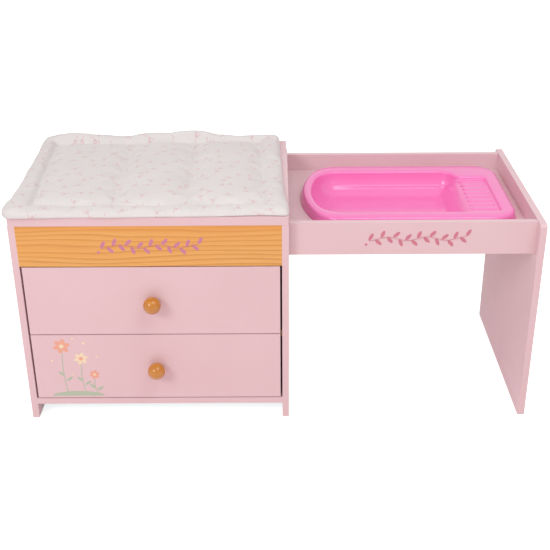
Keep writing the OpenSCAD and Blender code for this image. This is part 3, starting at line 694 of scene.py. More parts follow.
def away_from(points, loop):
    """Distance of each point to a closed outline."""
    start, step = loop, np.roll(loop, -1, 0) - loop
    length = (step ** 2).sum(1)
    best = np.full(len(points), 1e9)
    for k in range(len(loop)):
        to = points - start[k]
        share = np.clip((to @ step[k]) / length[k], 0, 1)
        best = np.minimum(best, np.hypot(*(to - share[:, None] * step[k]).T))
    return best


def lip_roll(inward):
    """Depth on the rolled lip, for places from LIP_R outside the lip to just inside it."""
    return -LIP_R + np.sqrt(np.maximum(LIP_R ** 2 - (LIP_R + np.minimum(inward, 0)) ** 2, 0))


def wall_depth(inward):
    """Depth of the basin's wall and fillet at a distance inside the lip."""
    fillet_z = -BASIN_DEPTH + WALL_FILLET_R
    wall_end_z = fillet_z - WALL_FILLET_R * math.sin(WALL_DRAFT)
    wall_end = (-LIP_R - wall_end_z) * math.tan(WALL_DRAFT)
    centre = wall_end + WALL_FILLET_R * math.cos(WALL_DRAFT)
    wall = -LIP_R - inward / math.tan(WALL_DRAFT)
    fillet = fillet_z - np.sqrt(np.maximum(
        WALL_FILLET_R ** 2 - np.minimum(inward - centre, 0) ** 2, 0))
    return np.where(inward < wall_end, wall, np.where(inward < centre, fillet, -BASIN_DEPTH))


def bath_depth(u, inward):
    """Depth inside the lip: the basin's wall, the slope under the soap shelf, and the shelf."""
    shelf = -LIP_R - (SHELF_DROP - LIP_R) * (1 - np.exp(-inward / SHELF_EASE))
    slope = -SHELF_DROP + FOOT_SLOPE * np.minimum(u - SHELF_EDGE, 0)
    floor = np.where(u > SHELF_EDGE, shelf, np.minimum(shelf, slope))
    return np.maximum(wall_depth(inward), floor)


def skin_rows(rim, lip):
    """Rows of points from the skirt's foot over the rim and the rolled lip into the basin."""
    rim_out, lip_out = outward_of(rim), outward_of(lip)
    rows = []

    def add_row(outline, z):
        rows.append(np.c_[outline, np.full(len(outline), z)])

    for z in np.linspace(-SKIRT_H, -EDGE_R, SKIRT_ROWS):
        flare = SKIRT_FLARE * ((-EDGE_R - z) / (SKIRT_H - EDGE_R)) ** FLARE_POWER
        add_row(rim + rim_out * flare, z)
    for a in np.linspace(0, math.pi / 2, EDGE_ROWS)[1:]:
        add_row(rim + rim_out * (EDGE_R * math.cos(a) - EDGE_R), EDGE_R * math.sin(a) - EDGE_R)
    edge, brink = rim - rim_out * EDGE_R, lip + lip_out * LIP_R
    for share in np.linspace(0, 1, RIM_ROWS)[1:-1]:
        add_row(edge * (1 - share) + brink * share, CROWN * math.sin(math.pi * share))
    for a in np.linspace(0, math.pi / 2, LIP_ROWS):
        inward = -LIP_R * (1 - math.sin(a))
        add_row(lip - lip_out * inward, lip_roll(inward))
    for inward in WALL_ROWS:
        place = lip - lip_out * inward
        add_row(place, bath_depth(place[:, 0], inward))
    return rows


def four_sides(loop, n_along, n_across):
    """The front, foot, rear and head of a closed outline, front and rear from the head end on, and
    foot and head from the front on."""
    closed = np.concatenate([loop, loop[:1]])
    return (closed[:n_along],
            closed[n_along - 1:n_along + n_across - 1],
            closed[n_along + n_across - 2:2 * n_along + n_across - 2][::-1],
            closed[2 * n_along + n_across - 3:][::-1])


def set_sides(grid, loop):
    """Gives a grid's four sides the values round a closed outline."""
    grid[:, 0], grid[-1], grid[:, -1], grid[0] = four_sides(loop, *grid.shape)


def basin_grid(ring, lip, n_along, n_across):
    """Places and depths inside the last row of the wall, on a grid between its four sides."""
    front, foot, rear, head = four_sides(ring[:, :2], n_along, n_across)
    share_u = (front[:, 0] - front[0, 0]) / (front[-1, 0] - front[0, 0])
    near_head = np.maximum(0, 1 - share_u / HEAD_BEND) ** 2
    near_foot = np.maximum(0, (share_u - FOOT_BEND) / (1 - FOOT_BEND))
    places = np.zeros((n_along, n_across, 2))
    for j, share in enumerate((foot[:, 1] - foot[0, 1]) / (foot[-1, 1] - foot[0, 1])):
        places[:, j] = front * (1 - share) + rear * share
        for weight, side in ((near_head, head), (near_foot, foot)):
            gap = side[j] - (side[0] * (1 - share) + side[-1] * share)
            places[:, j] += weight[:, None] * gap
    flat = places.reshape(-1, 2)
    depth = bath_depth(flat[:, 0], away_from(flat, lip)).reshape(n_along, n_across)
    set_sides(depth, ring[:, 2])
    for _ in range(BASIN_SMOOTHINGS):
        middle = (depth[:-2, 1:-1] + depth[2:, 1:-1] + depth[1:-1, :-2] + depth[1:-1, 2:]) / 4
        depth[1:-1, 1:-1] += BASIN_SMOOTHING * (middle - depth[1:-1, 1:-1])
    return np.dstack([places, depth])


def bath_shell():
    """The bath's upper skin: skirt, rolled edge, rim, lip, basin and soap shelf."""
    rim, lip, n_along, n_across = bath_outlines()
    rows = skin_rows(rim, lip)
    count = len(rim)
    faces = []
    for row in range(len(rows) - 1):
        for k in range(count):
            after = (k + 1) % count
            faces.append((row * count + k, row * count + after,
                          (row + 1) * count + after, (row + 1) * count + k))
    inside = basin_grid(rows[-1], lip, n_along, n_across)[1:-1, 1:-1]
    ids = np.zeros((n_along, n_across), int)
    set_sides(ids, (len(rows) - 1) * count + np.arange(count))
    ids[1:-1, 1:-1] = len(rows) * count + np.arange(inside[..., 0].size).reshape(inside.shape[:2])
    for i in range(n_along - 1):
        for j in range(n_across - 1):
            faces.append((ids[i, j], ids[i + 1, j], ids[i + 1, j + 1], ids[i, j + 1]))
    return np.concatenate([*rows, inside.reshape(-1, 3)]), faces


bath_low, bath_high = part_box("bath_tub")
BATH_CORNER = np.array([bath_low.x, bath_low.y, bath_high.z])


def moulded_bath():
    """The bath as one moulded skin with its wall thickness. It stands for its CAD node."""
    points, faces = bath_shell()
    mesh = mesh_of("bath_moulded", BATH_CORNER + points * MM, faces)
    piece = link_mesh("bath_moulded", mesh, MATERIALS["bath"])
    wall = piece.modifiers.new("wall", "SOLIDIFY")
    wall.thickness = BATH_WALL * MM
    wall.offset = -1.0
    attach(piece, body_of("bath_tub"))
    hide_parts("bath_tub")
    return piece


moulded_bath()


# Quilted changing mat. Places are in mm from the cabinet's left outer face and front plane.

# The four seams across the mat: X at the front, and its change over the depth
SEAM_COLUMNS = ((38.0, -0.065), (176.5, -0.022), (306.5, -0.0255), (439.5, -0.0335))
# Knots of the mat's edges and of the two seams along it: the side edges as (Y, X), the others as
# (X, Y)
LEFT_EDGE = ((-5, -6), (20, -14), (45, -16), (75, -11.5), (140, -10), (240, -12), (320, -14),
             (395, -14))
RIGHT_EDGE = ((-5, 480), (20, 483), (66, 478), (104, 474), (205, 471), (316, 468), (395, 466))
FRONT_EDGE = ((-5, -6), (40, -5), (126, -3), (170, -4.5), (228, -2.5), (350, -2), (397, 1),
              (431, 2), (480, -2))
FRONT_SEAM = ((0, 33), (214, 33), (312, 36), (437, 39), (480, 39))
REAR_SEAM = ((0, 361), (95, 359), (148, 361), (248, 366), (325, 368), (470, 374))
REAR_EDGE = ((-10, 394), (120, 396), (300, 399), (400, 396), (470, 395))
# Height of the padding above the seams: knots along each border, and one height for the panels
REAR_CROWN = ((-6, 15), (21, 21), (54, 22), (94, 18), (142, 15), (167, 17), (207, 20), (248, 21.5),
              (295, 24), (315, 22), (338, 16), (365, 14), (392, 11.5), (420, 14), (466, 18))
FRONT_CROWN = ((-5, 14), (30, 11), (100, 8.5), (180, 9), (260, 8), (360, 8.5), (440, 8), (480, 11))
LEFT_CROWN = ((0, 15), (40, 13), (90, 9.5), (180, 11), (280, 10), (395, 12))
RIGHT_CROWN = ((0, 11), (50, 12), (110, 8), (250, 7), (395, 13))
PANEL_CROWN = 9.5
SEAM_HEIGHT = 4.2
EDGE_HEIGHT = 0.6
FRONT_DROOP = 0.4
BORDER_FULLNESS = 2.2
PANEL_FULLNESS = 4.0
# Distance from an edge, in parts of the grid, up to which that edge's crown counts at a corner
CROWN_REACH = 1.6
# Corner radii, by whether a corner is at the right and at the rear
CORNER_RADII = {(0, 0): 15, (1, 0): 10, (0, 1): 27, (1, 1): 4}
# The grid's parts along X and Y: their lengths, where X is taken to be before it is known, and the
# border's width at the corners
PARTS_X, PARTS_Y = (40, 138, 130, 131, 38), (38, 328, 33)
GUESS_X = (-10, 30, 172, 302, 434, 474)
BORDER_X, BORDER_Y = 40, 34
CLOTH_STEP = 5.5
# The share of even steps in a part of the grid, the rest of which is denser at the seams
EVEN_SHARE = 0.45
EASE_SHIFTS = (-14, -7, 0, 7, 14)
MAT_GAP = 0.3
MAT_FRAMES = 20
PUFF_CAP = 0.004
CLOTH_SETTINGS = {
    "quality": 6, "mass": 0.15, "tension_stiffness": 15, "compression_stiffness": 15,
    "shear_stiffness": 5, "bending_stiffness": 0.4, "shrink_min": -0.014,
    "use_pressure": True, "uniform_pressure_force": 1.0,
}

cabinet_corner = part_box("left_side_panel")[0]
mat_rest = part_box("top_board")[1].z / MM + MAT_GAP


def soft(knots, at):
    """A value between knots, with the bends between them eased."""
    at = np.asarray(at, float)
    places, values = zip(*knots)
    eased = sum(np.interp(at + shift, places, values) for shift in EASE_SHIFTS)
    return eased / len(EASE_SHIFTS)


def grid_places(lengths):
    """Grid places, counted in parts: whole numbers lie on seams and edges."""
    places = [0.0]
    for part, length in enumerate(lengths):
        count = max(5, round(length / CLOTH_STEP))
        even = np.arange(1, count + 1) / count
        dense = (1 - np.cos(np.pi * even)) / 2
        places += list(part + EVEN_SHARE * even + (1 - EVEN_SHARE) * dense)
    return np.round(places, 9)


def blend_parts(lines, place):
    """Values at grid places, between lines that lie on the whole numbers."""
    part = np.minimum(place.astype(int), len(lines) - 2)
    share = place - part
    lines, each = np.stack(lines), np.arange(len(place))
    return lines[part, each] * (1 - share) + lines[part + 1, each] * share


def mat_place(u, v):
    """Where a place of the grid lies on the cabinet: u runs over 5 parts in X, v over 3 in Y."""
    guess_x = np.interp(u, range(len(GUESS_X)), GUESS_X)
    y = blend_parts([soft(knots, guess_x)
                     for knots in (FRONT_EDGE, FRONT_SEAM, REAR_SEAM, REAR_EDGE)], v)
    x = blend_parts([soft(LEFT_EDGE, y), *(front + slope * y for front, slope in SEAM_COLUMNS),
                     soft(RIGHT_EDGE, y)], u)
    return x, y


def from_edge(u, v):
    """Distance of a grid place from the mat's nearest edge, in parts."""
    return np.minimum.reduce([u, 5 - u, v, 3 - v])


def round_corners(x, y, u, v):
    """Draws the four corners in to their own radii."""
    for (right, rear), radius in CORNER_RADII.items():
        along = (5 - u if right else u) * BORDER_X
        across = (3 - v if rear else v) * BORDER_Y
        a = np.clip(1 - along / radius, 0, 1)
        b = np.clip(1 - across / radius, 0, 1)
        x = x - (1 if right else -1) * radius * (a - a * np.sqrt(1 - b * b / 2))
        y = y - (1 if rear else -1) * radius * (b - b * np.sqrt(1 - a * a / 2))
    return x, y


def swell(share, fullness):
    """Height of a filled channel across its width, steep at both seams and flatter between them."""
    away = np.abs(2 * np.clip(share, 0, 1) - 1)
    return np.sqrt(np.maximum(1 - away ** fullness, 0))


def mat_height(x, y, u, v):
    """Height of the filled upper layer over the top board."""
    into = from_edge(u, v)
    border = EDGE_HEIGHT * (1 - into) + SEAM_HEIGHT * into
    weights = [np.clip(CROWN_REACH - away, 0, 1) ** 3 for away in (u, 5 - u, v, 3 - v)]
    crowns = [soft(LEFT_CROWN, y), soft(RIGHT_CROWN, y), soft(FRONT_CROWN, x), soft(REAR_CROWN, x)]
    total = sum(weights) + 1e-9
    crown = sum(w * c for w, c in zip(weights, crowns)) / total
    border = border + crown * swell(into, BORDER_FULLNESS)
    panel = SEAM_HEIGHT + PANEL_CROWN * swell(u % 1, PANEL_FULLNESS) * swell(v - 1, PANEL_FULLNESS)
    return np.where(into < 1, border, panel)


def mat_grid():
    """The mat's two layers, sewn together at the edge.

    Returns points in mm, faces, the cloth's flat coordinates, which points are held, and the rows
    of points along the seams."""
    us, vs = grid_places(PARTS_X), grid_places(PARTS_Y)
    u, v = (grid.ravel() for grid in np.meshgrid(us, vs, indexing="ij"))
    x, y = mat_place(u, v)
    flat = np.stack([x, y], 1)
    x, y = round_corners(x, y, u, v)
    top = mat_height(x, y, u, v)
    rim = (u == 0) | (u == 5) | (v == 0) | (v == 3)
    seam = ((u % 1 == 0) & (v >= 1) & (v <= 2) | (v % 1 == 0) & (u >= 1) & (u <= 4)) & ~rim
    base = EDGE_HEIGHT * (1 - np.clip(from_edge(u, v) * 3, 0, 1))
    rows = len(vs)
    inner = np.flatnonzero(~rim)
    lower_id = np.arange(len(u))
    lower_id[inner] = len(u) + np.arange(len(inner))
    points = np.concatenate([np.stack([x, y, top], 1), np.stack([x, y, base], 1)[inner]])
    faces = []
    for i in range(len(us) - 1):
        for j in range(rows - 1):
            cell = (i * rows + j, (i + 1) * rows + j, (i + 1) * rows + j + 1, i * rows + j + 1)
            faces.append(cell)
            faces.append([int(lower_id[k]) for k in reversed(cell)])
    held = np.concatenate([rim | seam, np.ones(len(inner), bool)])
    columns = [int(np.flatnonzero(us == place)[0]) for place in (1, 2, 3, 4)]
    front, rear = (int(np.flatnonzero(vs == place)[0]) for place in (1, 2))
    seams = [[i * rows + j for j in range(front, rear + 1)] for i in columns]
    seams += [[i * rows + j for i in range(columns[0], columns[-1] + 1)] for j in (front, rear)]
    return points, faces, np.concatenate([flat, flat[inner]]), held, seams


def blow_up(mesh, held):
    """Lets the cloth fill a little under pressure with its seams held, and returns its points."""
    puff = bpy.data.objects.new("puff", mesh)
    bpy.context.scene.collection.objects.link(puff)
    group = puff.vertex_groups.new(name="held")
    group.add([int(k) for k in np.flatnonzero(held)], 1.0, "REPLACE")
    cloth = puff.modifiers.new("cloth", "CLOTH")
    cloth.settings.vertex_group_mass = "held"
    for setting, value in CLOTH_SETTINGS.items():
        setattr(cloth.settings, setting, value)
    cloth.settings.effector_weights.gravity = 0.0
    cloth.collision_settings.use_collision = False
    cloth.point_cache.frame_start = 1
    cloth.point_cache.frame_end = MAT_FRAMES
    scene = bpy.context.scene
    for step in range(1, MAT_FRAMES + 1):
        scene.frame_set(step)
    shown = puff.evaluated_get(bpy.context.evaluated_depsgraph_get())
    made = np.empty(len(mesh.vertices) * 3)
    shown.data.vertices.foreach_get("co", made)
    bpy.data.objects.remove(puff)
    scene.frame_set(1)
    return made.reshape(-1, 3)


def changing_mat():
    """A quilted cotton mat, filled, sewn in three panels inside a padded border."""
    points, faces, flat, held, seams = mat_grid()
    mesh = mesh_of("changing_mat_quilted", points * MM, faces)
    start = points * MM
    move = blow_up(mesh.copy(), held) - start
    far = np.linalg.norm(move, axis=1, keepdims=True)
    capped = PUFF_CAP * np.tanh(far / PUFF_CAP)
    points = (start + move * capped / np.maximum(far, 1e-9)) / MM
    # The mat rests on the top, and hangs a little where it reaches past the front
    points[:, 2] = np.maximum(points[:, 2], 0.0)
    points[:, 2] += FRONT_DROOP * np.minimum(points[:, 1], 0)
    placed = points * MM + np.array([cabinet_corner.x, cabinet_corner.y, mat_rest * MM])
    mesh.vertices.foreach_set("co", placed.ravel())
    mesh.update()
    layer = mesh.uv_layers.new(name="cloth")
    corner_points = np.empty(len(mesh.loops), int)
    mesh.loops.foreach_get("vertex_index", corner_points)
    layer.data.foreach_set("uv", (flat[corner_points] * MM).ravel())
    piece = link_mesh("changing_mat_quilted", mesh, MATERIALS["cotton"])
    smoother = piece.modifiers.new("smoother", "SUBSURF")
    smoother.levels = smoother.render_levels = 1
    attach(piece, body_of("changing_mat"))
    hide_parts("changing_mat")
    return placed, seams


mat_points, mat_seams = changing_mat()


# Geometry Nodes

def geometry_tree(name, inputs):
    """A tree with a geometry input, the named inputs and a geometry output."""
    tree = bpy.data.node_groups.new(name, "GeometryNodeTree")
    tree.interface.new_socket(name="Geometry", in_out="INPUT", socket_type="NodeSocketGeometry")
    tree.interface.new_socket(name="Geometry", in_out="OUTPUT", socket_type="NodeSocketGeometry")
    for label, kind in inputs.items():
        tree.interface.new_socket(name=label, in_out="INPUT", socket_type="NodeSocket" + kind)
    source = tree.nodes.new("NodeGroupInput").outputs
    return tree, source


def finish_tree(tree, geometry, material):
    """Ends a tree in real geometry with its material."""
    real = add_node(tree, "GeometryNodeRealizeInstances", {"Geometry": geometry})
    painted = add_node(tree, "GeometryNodeSetMaterial", {
        "Geometry": real.outputs[0], "Material": material})
    add_node(tree, "NodeGroupOutput", {"Geometry": painted.outputs[0]})


def run_tree(tree, source, values, name):
    """The plain mesh that a tree makes from an object, as a new object."""
    modifier = source.modifiers.new(tree.name, "NODES")
    modifier.node_group = tree
    for item in tree.interface.items_tree:
        if item.in_out == "INPUT" and item.name in values:
            modifier[item.identifier] = values[item.name]
    bpy.context.view_layer.update()
    graph = bpy.context.evaluated_depsgraph_get()
    mesh = bpy.data.meshes.new_from_object(source.evaluated_get(graph), depsgraph=graph)
    mesh.name = name
    source.modifiers.remove(modifier)
    bpy.data.objects.remove(source)
    piece = bpy.data.objects.new(name, mesh)
    bpy.context.scene.collection.objects.link(piece)
    return piece


def path_object(name, paths):
    """An object of loose edges along paths of points."""
    points, edges = [], []
    for path in paths:
        edges += [(len(points) + k, len(points) + k + 1) for k in range(len(path) - 1)]
        points += [tuple(p) for p in path]
    mesh = bpy.data.meshes.new(name)
    mesh.from_pydata(points, edges, [])
    source = bpy.data.objects.new(name, mesh)
    bpy.context.scene.collection.objects.link(source)
    return source


def along_curve(tree):
    """The turn that lays an instance's X along the curve it stands on."""
    tangent = add_node(tree, "GeometryNodeInputTangent")
    return add_node(tree, "FunctionNodeAlignRotationToVector", {"Vector": tangent.outputs[0]},
                    axis="X").outputs[0]


def stitch_tree():
    """Short thread loops at an even pitch along a path."""
    tree, source = geometry_tree("stitches", {
        "Pitch": "Float", "Stitch length": "Float", "Thread radius": "Float",
        "Material": "Material"})
    curve = add_node(tree, "GeometryNodeMeshToCurve", {"Mesh": source["Geometry"]})
    evenly = add_node(tree, "GeometryNodeResampleCurve", {
        "Curve": curve.outputs[0], "Length": source["Pitch"]}, mode="LENGTH")
    bead = add_node(tree, "GeometryNodeMeshUVSphere", {"Segments": 6, "Rings": 4, "Radius": 1.0})
    size = add_node(tree, "ShaderNodeCombineXYZ", {
        "X": math_node(tree, "MULTIPLY", source["Stitch length"], 0.5),
        "Y": source["Thread radius"], "Z": source["Thread radius"]})
    placed = add_node(tree, "GeometryNodeInstanceOnPoints", {
        "Points": evenly.outputs[0], "Instance": bead.outputs[0],
        "Rotation": along_curve(tree), "Scale": size.outputs[0]})
    finish_tree(tree, placed.outputs[0], source["Material"])
    return tree


# In mm: the stitches' pitch and size, and how far the thread's middle is over the seam
STITCH_PITCH, STITCH_LENGTH, THREAD_R, THREAD_RISE = 3.2, 2.3, 0.35, 0.1


def mat_stitches():
    """The quilting stitches along the mat's seams, half sunk in the cotton."""
    paths = [[mat_points[k] + (0, 0, THREAD_RISE * MM) for k in path] for path in mat_seams]
    piece = run_tree(stitch_tree(), path_object("mat_seam_lines", paths), {
        "Pitch": STITCH_PITCH * MM, "Stitch length": STITCH_LENGTH * MM,
        "Thread radius": THREAD_R * MM, "Material": MATERIALS["thread"]}, "mat_stitches")
    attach(piece, body_of("changing_mat"))
    return piece


mat_stitches()


def rib_tree():
    """Low soft ribs at even places along a path."""
    tree, source = geometry_tree("soap_ribs", {
        "Rib count": "Int", "Rib length": "Float", "Rib width": "Float", "Rib height": "Float",
        "Material": "Material"})
    curve = add_node(tree, "GeometryNodeMeshToCurve", {"Mesh": source["Geometry"]})
    places = add_node(tree, "GeometryNodeResampleCurve", {
        "Curve": curve.outputs[0], "Count": source["Rib count"]}, mode="COUNT")
    size = add_node(tree, "ShaderNodeCombineXYZ", {
        "X": source["Rib length"], "Y": source["Rib width"],
        "Z": math_node(tree, "MULTIPLY", source["Rib height"], 2.0)})
    block = add_node(tree, "GeometryNodeMeshCube", {
        "Size": size.outputs[0], "Vertices X": 9, "Vertices Y": 2, "Vertices Z": 2})
    rounded = add_node(tree, "GeometryNodeSubdivisionSurface", {
        "Mesh": block.outputs[0], "Level": 3})
    placed = add_node(tree, "GeometryNodeInstanceOnPoints", {
        "Points": places.outputs[0], "Instance": rounded.outputs[0]})
    finish_tree(tree, placed.outputs[0], source["Material"])
    return tree


def soap_shelf_ribs():
    """The raised ribs of the soap shelf, half sunk in its surface."""
    u = (SHELF_EDGE + SHELF_END) / 2
    ends = [BATH_CORNER + MM * np.array([u, v, -SHELF_DROP])
            for v in (SHELF_FRONT + RIB_FRONT_GAP, SHELF_REAR - RIB_REAR_GAP)]
    piece = run_tree(rib_tree(), path_object("shelf_rib_line", [ends]), {
        "Rib count": RIB_COUNT, "Rib length": RIB_LENGTH * MM, "Rib width": RIB_WIDTH * MM,
        "Rib height": RIB_HEIGHT * MM, "Material": MATERIALS["bath"]}, "soap_shelf_ribs")
    piece.data.polygons.foreach_set("use_smooth", [True] * len(piece.data.polygons))
    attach(piece, body_of("bath_tub"))
    return piece


soap_shelf_ribs()


# Sizes of the printed garlands in mm, and how far right of the middle the tray rail's lies. Then
# the lean of the leaves, and how far leaf and berry are from the stem, in leaf lengths.
GARLAND_LENGTH = 168.0
GARLAND_WAVE = 3.4
GARLAND_WAVES = 2.5
GARLAND_STEPS = 60
LEAF_SPACING, LEAF_LENGTH, LEAF_WIDTH, STEM_WIDTH = 10.5, 14.5, 6.4, 2.2
INK_HEIGHT = 0.24
RAIL_GARLAND_SHIFT = 8.0
STEM_STEP = 2.0
LEAF_LEAN = math.radians(52)
LEAF_OUT, BERRY_OUT = 0.55, -0.75
BERRY_SHARE = 0.8


def garland_tree():
    """A printed garland: a stem with leaves on both sides in turn, and a berry opposite each."""
    tree, source = geometry_tree("garland", {
        "Leaf spacing": "Float", "Leaf length": "Float", "Leaf width": "Float",
        "Stem width": "Float", "Ink height": "Float", "Material": "Material"})
    curve = add_node(tree, "GeometryNodeMeshToCurve", {"Mesh": source["Geometry"]})
    fine = add_node(tree, "GeometryNodeResampleCurve", {
        "Curve": curve.outputs[0], "Length": STEM_STEP * MM}, mode="LENGTH")
    section = add_node(tree, "GeometryNodeCurvePrimitiveQuadrilateral", {
        "Width": source["Stem width"], "Height": source["Ink height"]})
    stem = add_node(tree, "GeometryNodeCurveToMesh", {
        "Curve": fine.outputs[0], "Profile Curve": section.outputs[0], "Fill Caps": True})
    places = add_node(tree, "GeometryNodeResampleCurve", {
        "Curve": curve.outputs[0], "Length": source["Leaf spacing"]}, mode="LENGTH")

    # Odd leaves lean to one side of the stem and even ones to the other
    odd = math_node(tree, "MODULO", add_node(tree, "GeometryNodeInputIndex").outputs[0], 2.0)
    side = add_node(tree, "ShaderNodeMath", {0: odd, 1: 2.0, 2: -1.0}, operation="MULTIPLY_ADD")
    lean = math_node(tree, "MULTIPLY", side.outputs[0], LEAF_LEAN)
    turn = add_node(tree, "FunctionNodeAxisAngleToRotation", {"Axis": (0, 1, 0), "Angle": lean})
    leaning = add_node(tree, "FunctionNodeRotateRotation", {
        "Rotation": along_curve(tree), "Rotate By": turn.outputs[0]}, rotation_space="LOCAL")

    ball = add_node(tree, "GeometryNodeMeshUVSphere", {"Segments": 20, "Rings": 10, "Radius": 0.5})
    leaf_size = add_node(tree, "ShaderNodeCombineXYZ", {
        "X": source["Leaf length"], "Y": source["Ink height"], "Z": source["Leaf width"]})
    berry_size = add_node(tree, "ShaderNodeCombineXYZ", {
        "X": source["Leaf width"], "Y": source["Ink height"], "Z": source["Leaf width"]})
    joined = add_node(tree, "GeometryNodeJoinGeometry")
    tree.links.new(stem.outputs[0], joined.inputs[0])
    for size, out, share in ((leaf_size, LEAF_OUT, 1.0), (berry_size, BERRY_OUT, BERRY_SHARE)):
        sized = add_node(tree, "GeometryNodeTransform", {
            "Geometry": ball.outputs[0], "Scale": size.outputs[0]})
        moved = add_node(tree, "GeometryNodeTransform", {
            "Geometry": sized.outputs[0],
            "Translation": vector_node(tree, "MULTIPLY", leaf_size.outputs[0], (out, 0, 0))})
        placed = add_node(tree, "GeometryNodeInstanceOnPoints", {
            "Points": places.outputs[0], "Instance": moved.outputs[0],
            "Rotation": leaning.outputs[0], "Scale": (share, 1.0, share)})
        tree.links.new(placed.outputs[0], joined.inputs[0])
    finish_tree(tree, joined.outputs[0], source["Material"])
    return tree


def garland(name, node, centre_x, ink, tree):
    """A garland printed across a board's front face, about a centre along X."""
    low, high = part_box(node)
    middle = (low.z + high.z) / 2
    path = [Vector((centre_x + GARLAND_LENGTH * MM * s, low.y,
                    middle + GARLAND_WAVE * MM * math.sin(math.tau * GARLAND_WAVES * s)))
            for s in np.linspace(-0.5, 0.5, GARLAND_STEPS)]
    piece = run_tree(tree, path_object(name + "_line", [path]), {
        "Leaf spacing": LEAF_SPACING * MM, "Leaf length": LEAF_LENGTH * MM,
        "Leaf width": LEAF_WIDTH * MM, "Stem width": STEM_WIDTH * MM,
        "Ink height": INK_HEIGHT * MM, "Material": MATERIALS[ink]}, name)
    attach(piece, body_of(node))
    return piece


fascia_low, fascia_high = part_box("pine_fascia")
cabinet_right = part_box("right_side_panel")[1].x
rail_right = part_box("tray_front_rail")[1].x
garlands = garland_tree()
garland("fascia_garland", "pine_fascia", (fascia_low.x + fascia_high.x) / 2,
        "ink_mauve", garlands)
garland("rail_garland", "tray_front_rail",
        (cabinet_right + rail_right) / 2 + RAIL_GARLAND_SHIFT * MM,
        "ink_rose", garlands)


# Printed flowers on the lower drawer

def oval(centre_x, centre_z, length, width, angle, sides=28):
    """The outline of an oval, in mm on the drawer front."""
    turn = math.radians(angle)
    outline = []
    for k in range(sides):
        a = math.tau * k / sides
        along, across = length / 2 * math.cos(a), width / 2 * math.sin(a)
        outline.append((centre_x + along * math.cos(turn) - across * math.sin(turn),
                        centre_z + along * math.sin(turn) + across * math.cos(turn)))
    return outline


def strip(start, end, width, bow=0.0, steps=12):
    """The outline of a bowed strip between two places."""
    start, end = Vector(start), Vector(end)
    across = Vector((-(end - start).y, (end - start).x)).normalized()
    middle = [start.lerp(end, k / steps) + across * bow * math.sin(math.pi * k / steps)
              for k in range(steps + 1)]
    left = [tuple(p + across * width / 2) for p in middle]
    right = [tuple(p - across * width / 2) for p in reversed(middle)]
    return left + right


# Ink on the drawer front, in mm: height of petals, leaves and stems, height of middles and dots,
# the rise from one shape to the next, because some of them cross, and how far all are sunk in
PETAL_INK_HEIGHT = 0.16
MIDDLE_INK_HEIGHT = 0.26
INK_STEP = 0.004
INK_SUNK = 0.1


def printed(name, node, corner, outlines, height, ink):
    """Flat ink shapes on a board's front face, placed from a corner in mm."""
    face_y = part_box(node)[0].y
    shape = bmesh.new()
    for order, outline in enumerate(outlines):
        front_y = face_y - (height + INK_STEP * order) * MM
        front, back = [], []
        for x, z in outline:
            place = corner + MM * Vector((x, 0, z))
            front.append(shape.verts.new((place.x, front_y, place.z)))
            back.append(shape.verts.new((place.x, face_y + INK_SUNK * MM, place.z)))
        shape.faces.new(front)
        shape.faces.new(list(reversed(back)))
        count = len(outline)
        for k in range(count):
            after = (k + 1) % count
            shape.faces.new((front[after], front[k], back[k], back[after]))
    bmesh.ops.recalc_face_normals(shape, faces=shape.faces)
    mesh = bpy.data.meshes.new(name)
    shape.to_mesh(mesh)
    shape.free()
    piece = link_mesh(name, mesh, MATERIALS[ink], smooth=False)
    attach(piece, body_of(node))
    return piece


# Each flower, in mm from the flowers' corner on the drawer: place of its head, size, and the inks
# of its petals and of its middle. The dots are x, z and size.
FLOWERS_CORNER = (29, 4)
FLOWERS = [
    ((24, 106), 28, "ink_coral", "ink_cream"),
    ((57, 80), 24, "ink_cream", "ink_coral"),
    ((79, 46), 18, "ink_coral", "ink_cream"),
]
DOTS = ((45, 122, 4), (64, 112, 5), (86, 84, 4), (4, 76, 4), (40, 46, 3))
PETALS = 6
PETAL_TURN = 15
# In flower sizes: how far the petals' middles are from the head's, a petal's length and width, the
# middle, and how far under the head the stem ends
PETAL_OUT, PETAL_LENGTH, PETAL_WIDTH, MIDDLE_SIZE, STEM_END = 0.33, 0.42, 0.30, 0.3, 0.52
FLOWER_STEM_WIDTH, FLOWER_STEM_BOW = 1.6, 3
# Each leaf: its place beside the head's, its height as a share of the head's, and its turn
FLOWER_LEAVES = ((9, 0.35, 38), (-5, 0.45, 142))
FLOWER_LEAF_LENGTH, FLOWER_LEAF_WIDTH = 13, 5
MOUND_START, MOUND_LENGTH, MOUND_EDGE, MOUND_RISE, MOUND_STEPS = -2, 96, 3, 7, 24


